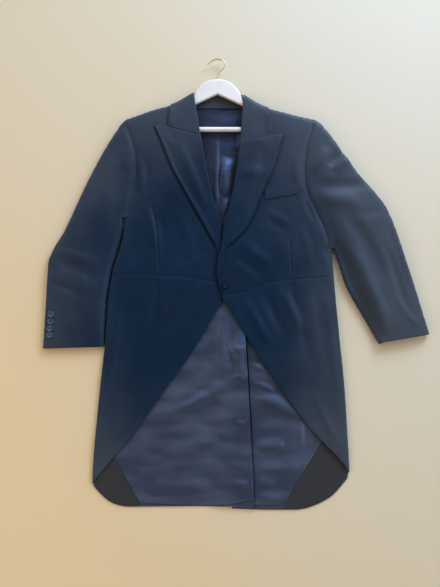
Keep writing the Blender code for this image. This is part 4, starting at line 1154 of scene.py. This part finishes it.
@dataclass
class Hanger:
    """The lacquered hanger, its bar and the brass hook."""

    finishes: Finishes
    grain_mm: float = 6
    sharp_deg: float = 36
    wire_mm: float = 1.7
    mid_mm: float = 13.7
    hook_path: Points = (
        (-6.5, 521.5), (-6.5, 530), (-3.5, 538), (3, 543.5), (10, 549.5), (13, 557.5), (10.5, 565.5),
        (2.5, 570.5), (-7.5, 571.8), (-17.5, 569.5), (-25, 564), (-30.5, 557.5),
    )

    def build(self) -> list[bpy.types.Object]:
        """Dress the wood and make the hook.

        Returns:
            The wood, bar and hook.
        """
        bm = fine_copy("hanger_body", math.radians(self.sharp_deg), self.grain_mm * MM, 6)
        grain = Grain.of(bm)
        grain.settle(6, 0)
        grain.write(bm)
        wood = finished("hanger_wood", bm, self.finishes.wood)
        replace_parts(wood, "hanger_body")
        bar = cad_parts["hanger_bar"]
        bar.data.materials.clear()
        bar.data.materials.append(self.finishes.wood)
        wire = self.wire()
        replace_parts(wire, "hanger_hook")
        for piece, slot in ((wood, "wood"), (wire, "hook")):
            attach(piece, "root")
        return [wood, bar, wire]

    def wire(self) -> bpy.types.Object:
        """Bend the hook's wire.

        Returns:
            The wire as a mesh.
        """
        curve = bpy.data.curves.new("hook_wire", "CURVE")
        curve.dimensions = "3D"
        curve.bevel_depth = self.wire_mm * MM
        curve.bevel_resolution = 5
        curve.resolution_u = 8
        curve.use_fill_caps = True
        spline = curve.splines.new("NURBS")
        spline.points.add(len(self.hook_path) - 1)
        for point, (x, y) in zip(spline.points, self.hook_path):
            point.co = (*place(x, y, self.mid_mm), 1.0)
        spline.order_u = 3
        spline.use_endpoint_u = True
        bent = add_object("hook_wire", curve)
        mesh = bpy.data.meshes.new_from_object(bent.evaluated_get(bpy.context.evaluated_depsgraph_get()))
        bpy.data.objects.remove(bent)
        mesh.materials.clear()
        mesh.materials.append(self.finishes.brass)
        mesh.shade_smooth()
        return add_object("hanger_hook_wire", mesh)


@dataclass
class Studio:
    """The floor, the soft light and the camera over the coat."""

    height_m: float = 1.45
    frame_m: float = 1.4675
    aim: tuple[float, float] = (0.0, -8.75)
    wall: float = 1.02
    ceiling: float = 0.03
    far_wall: float = 0.40
    near_wall: float = 1.7
    ceiling_over: tuple[float, float] = (0.72, 0.95)
    window_over: tuple[float, float] = (-0.6, 0.7)
    window_way: tuple[float, float, float] = (0.45, 0.85, 0.0)
    floor_m: float = 6.0
    sensor_mm: float = 36.0
    clear_mm: float = 0.2

    def build(self) -> None:
        """Set the stage."""
        bm = bmesh.new()
        bmesh.ops.create_grid(bm, x_segments=2, y_segments=2, size=self.floor_m)
        bmesh.ops.translate(bm, verts=bm.verts[:], vec=(0, 0, -self.clear_mm * MM))
        floor = finished("floor", bm, Floor("pale_floor_painted_light").make())
        self.light("window", (1.15, 2.05, 1.05), 1.1, 62.0, "b4cfff")
        self.light("lamp", (-2.0, -1.0, 1.5), 1.6, 16.0, "ffbf80", False)
        bpy.context.scene.world = self.room()
        bpy.context.scene.view_settings.view_transform = "Standard"
        lens = bpy.data.cameras.new("camera")
        lens.sensor_width = self.sensor_mm
        lens.lens = self.sensor_mm / 2 / (self.frame_m / 2 / self.height_m)
        camera = add_object("camera", lens)
        camera.location = place(*self.aim) + Vector((0, 0, self.height_m))
        bpy.context.scene.camera = camera

    def room(self) -> bpy.types.World:
        """Make the room's glow: pale walls, cool and bright towards the window, and a dark ceiling.

        Returns:
            The world.
        """
        world = bpy.data.worlds.new("room")
        world.use_nodes = True
        tree = world.node_tree
        back = add_node(tree, "ShaderNodeNewGeometry").outputs["Incoming"]
        way = add_node(tree, "ShaderNodeVectorMath", {0: back}, operation="SCALE", Scale=-1.0).outputs[0]
        up = add_node(tree, "ShaderNodeSeparateXYZ", {0: way}).outputs["Z"]
        ceiling = add_rise(tree, up, *self.ceiling_over, self.wall, self.ceiling)
        towards = add_node(tree, "ShaderNodeVectorMath", {0: way, 1: self.window_way},
                           operation="DOT_PRODUCT").outputs["Value"]
        glow = add_rise(tree, towards, *self.window_over, self.far_wall, self.near_wall)
        set_inputs(tree.nodes["Background"], Strength=add_math(tree, "MULTIPLY", ceiling, glow),
                   Color=add_ramp(tree, towards, (0.0, "eef0f4"), (0.75, "cfdfff")))
        return world

    def light(self, name: str, spot: tuple[float, float, float], size: float, power: float,
              colour: str, shines: bool = True) -> None:
        """Add one soft light that faces the coat.

        Args:
            name: Its name.
            spot: Where it stands, in metres.
            size: How wide it is.
            power: Its watts.
            colour: Its sRGB colour.
            shines: Whether it leaves highlights on what it lights.
        """
        lamp = bpy.data.lights.new(name, "AREA")
        lamp.shape = "DISK"
        lamp.size = size
        lamp.energy = power
        lamp.color = linear(colour)[:3]
        made = add_object(name, lamp)
        made.location = spot
        made.rotation_euler = (-Vector(spot)).to_track_quat("-Z", "Y").to_euler()
        made.visible_glossy = shines


def main() -> None:
    """Build every sub-assembly in order."""
    logging.basicConfig(level=logging.INFO, format="%(message)s")
    finishes = Finishes()
    pieces: dict[str, bpy.types.Object] = {}
    for part in (Body(finishes), Back(finishes), Lining(finishes), Collar(finishes), Sleeves(finishes)):
        for piece in part.build():
            pieces[piece["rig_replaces"][0]] = piece
    welt = ClothPiece("breast_welt", finishes.body, "cloth", rests_on=("front_left",),
                      grain_mm=3, rounding_mm=0.45).build()
    pieces["breast_welt"] = welt
    Button("waist_button", 10.0, finishes.horn, finishes.silk, 2.0).build()
    # The cuff buttons take the horn painted paler as a painted highlight
    for count in range(1, 5):
        Button(f"cuff_button_{count}", 7.5, finishes.horn_painted_highlight, finishes.silk).build()
    Sewing(finishes).build(pieces)
    Hanger(finishes).build()
    Studio().build()


if __name__ == "__main__":
    main()
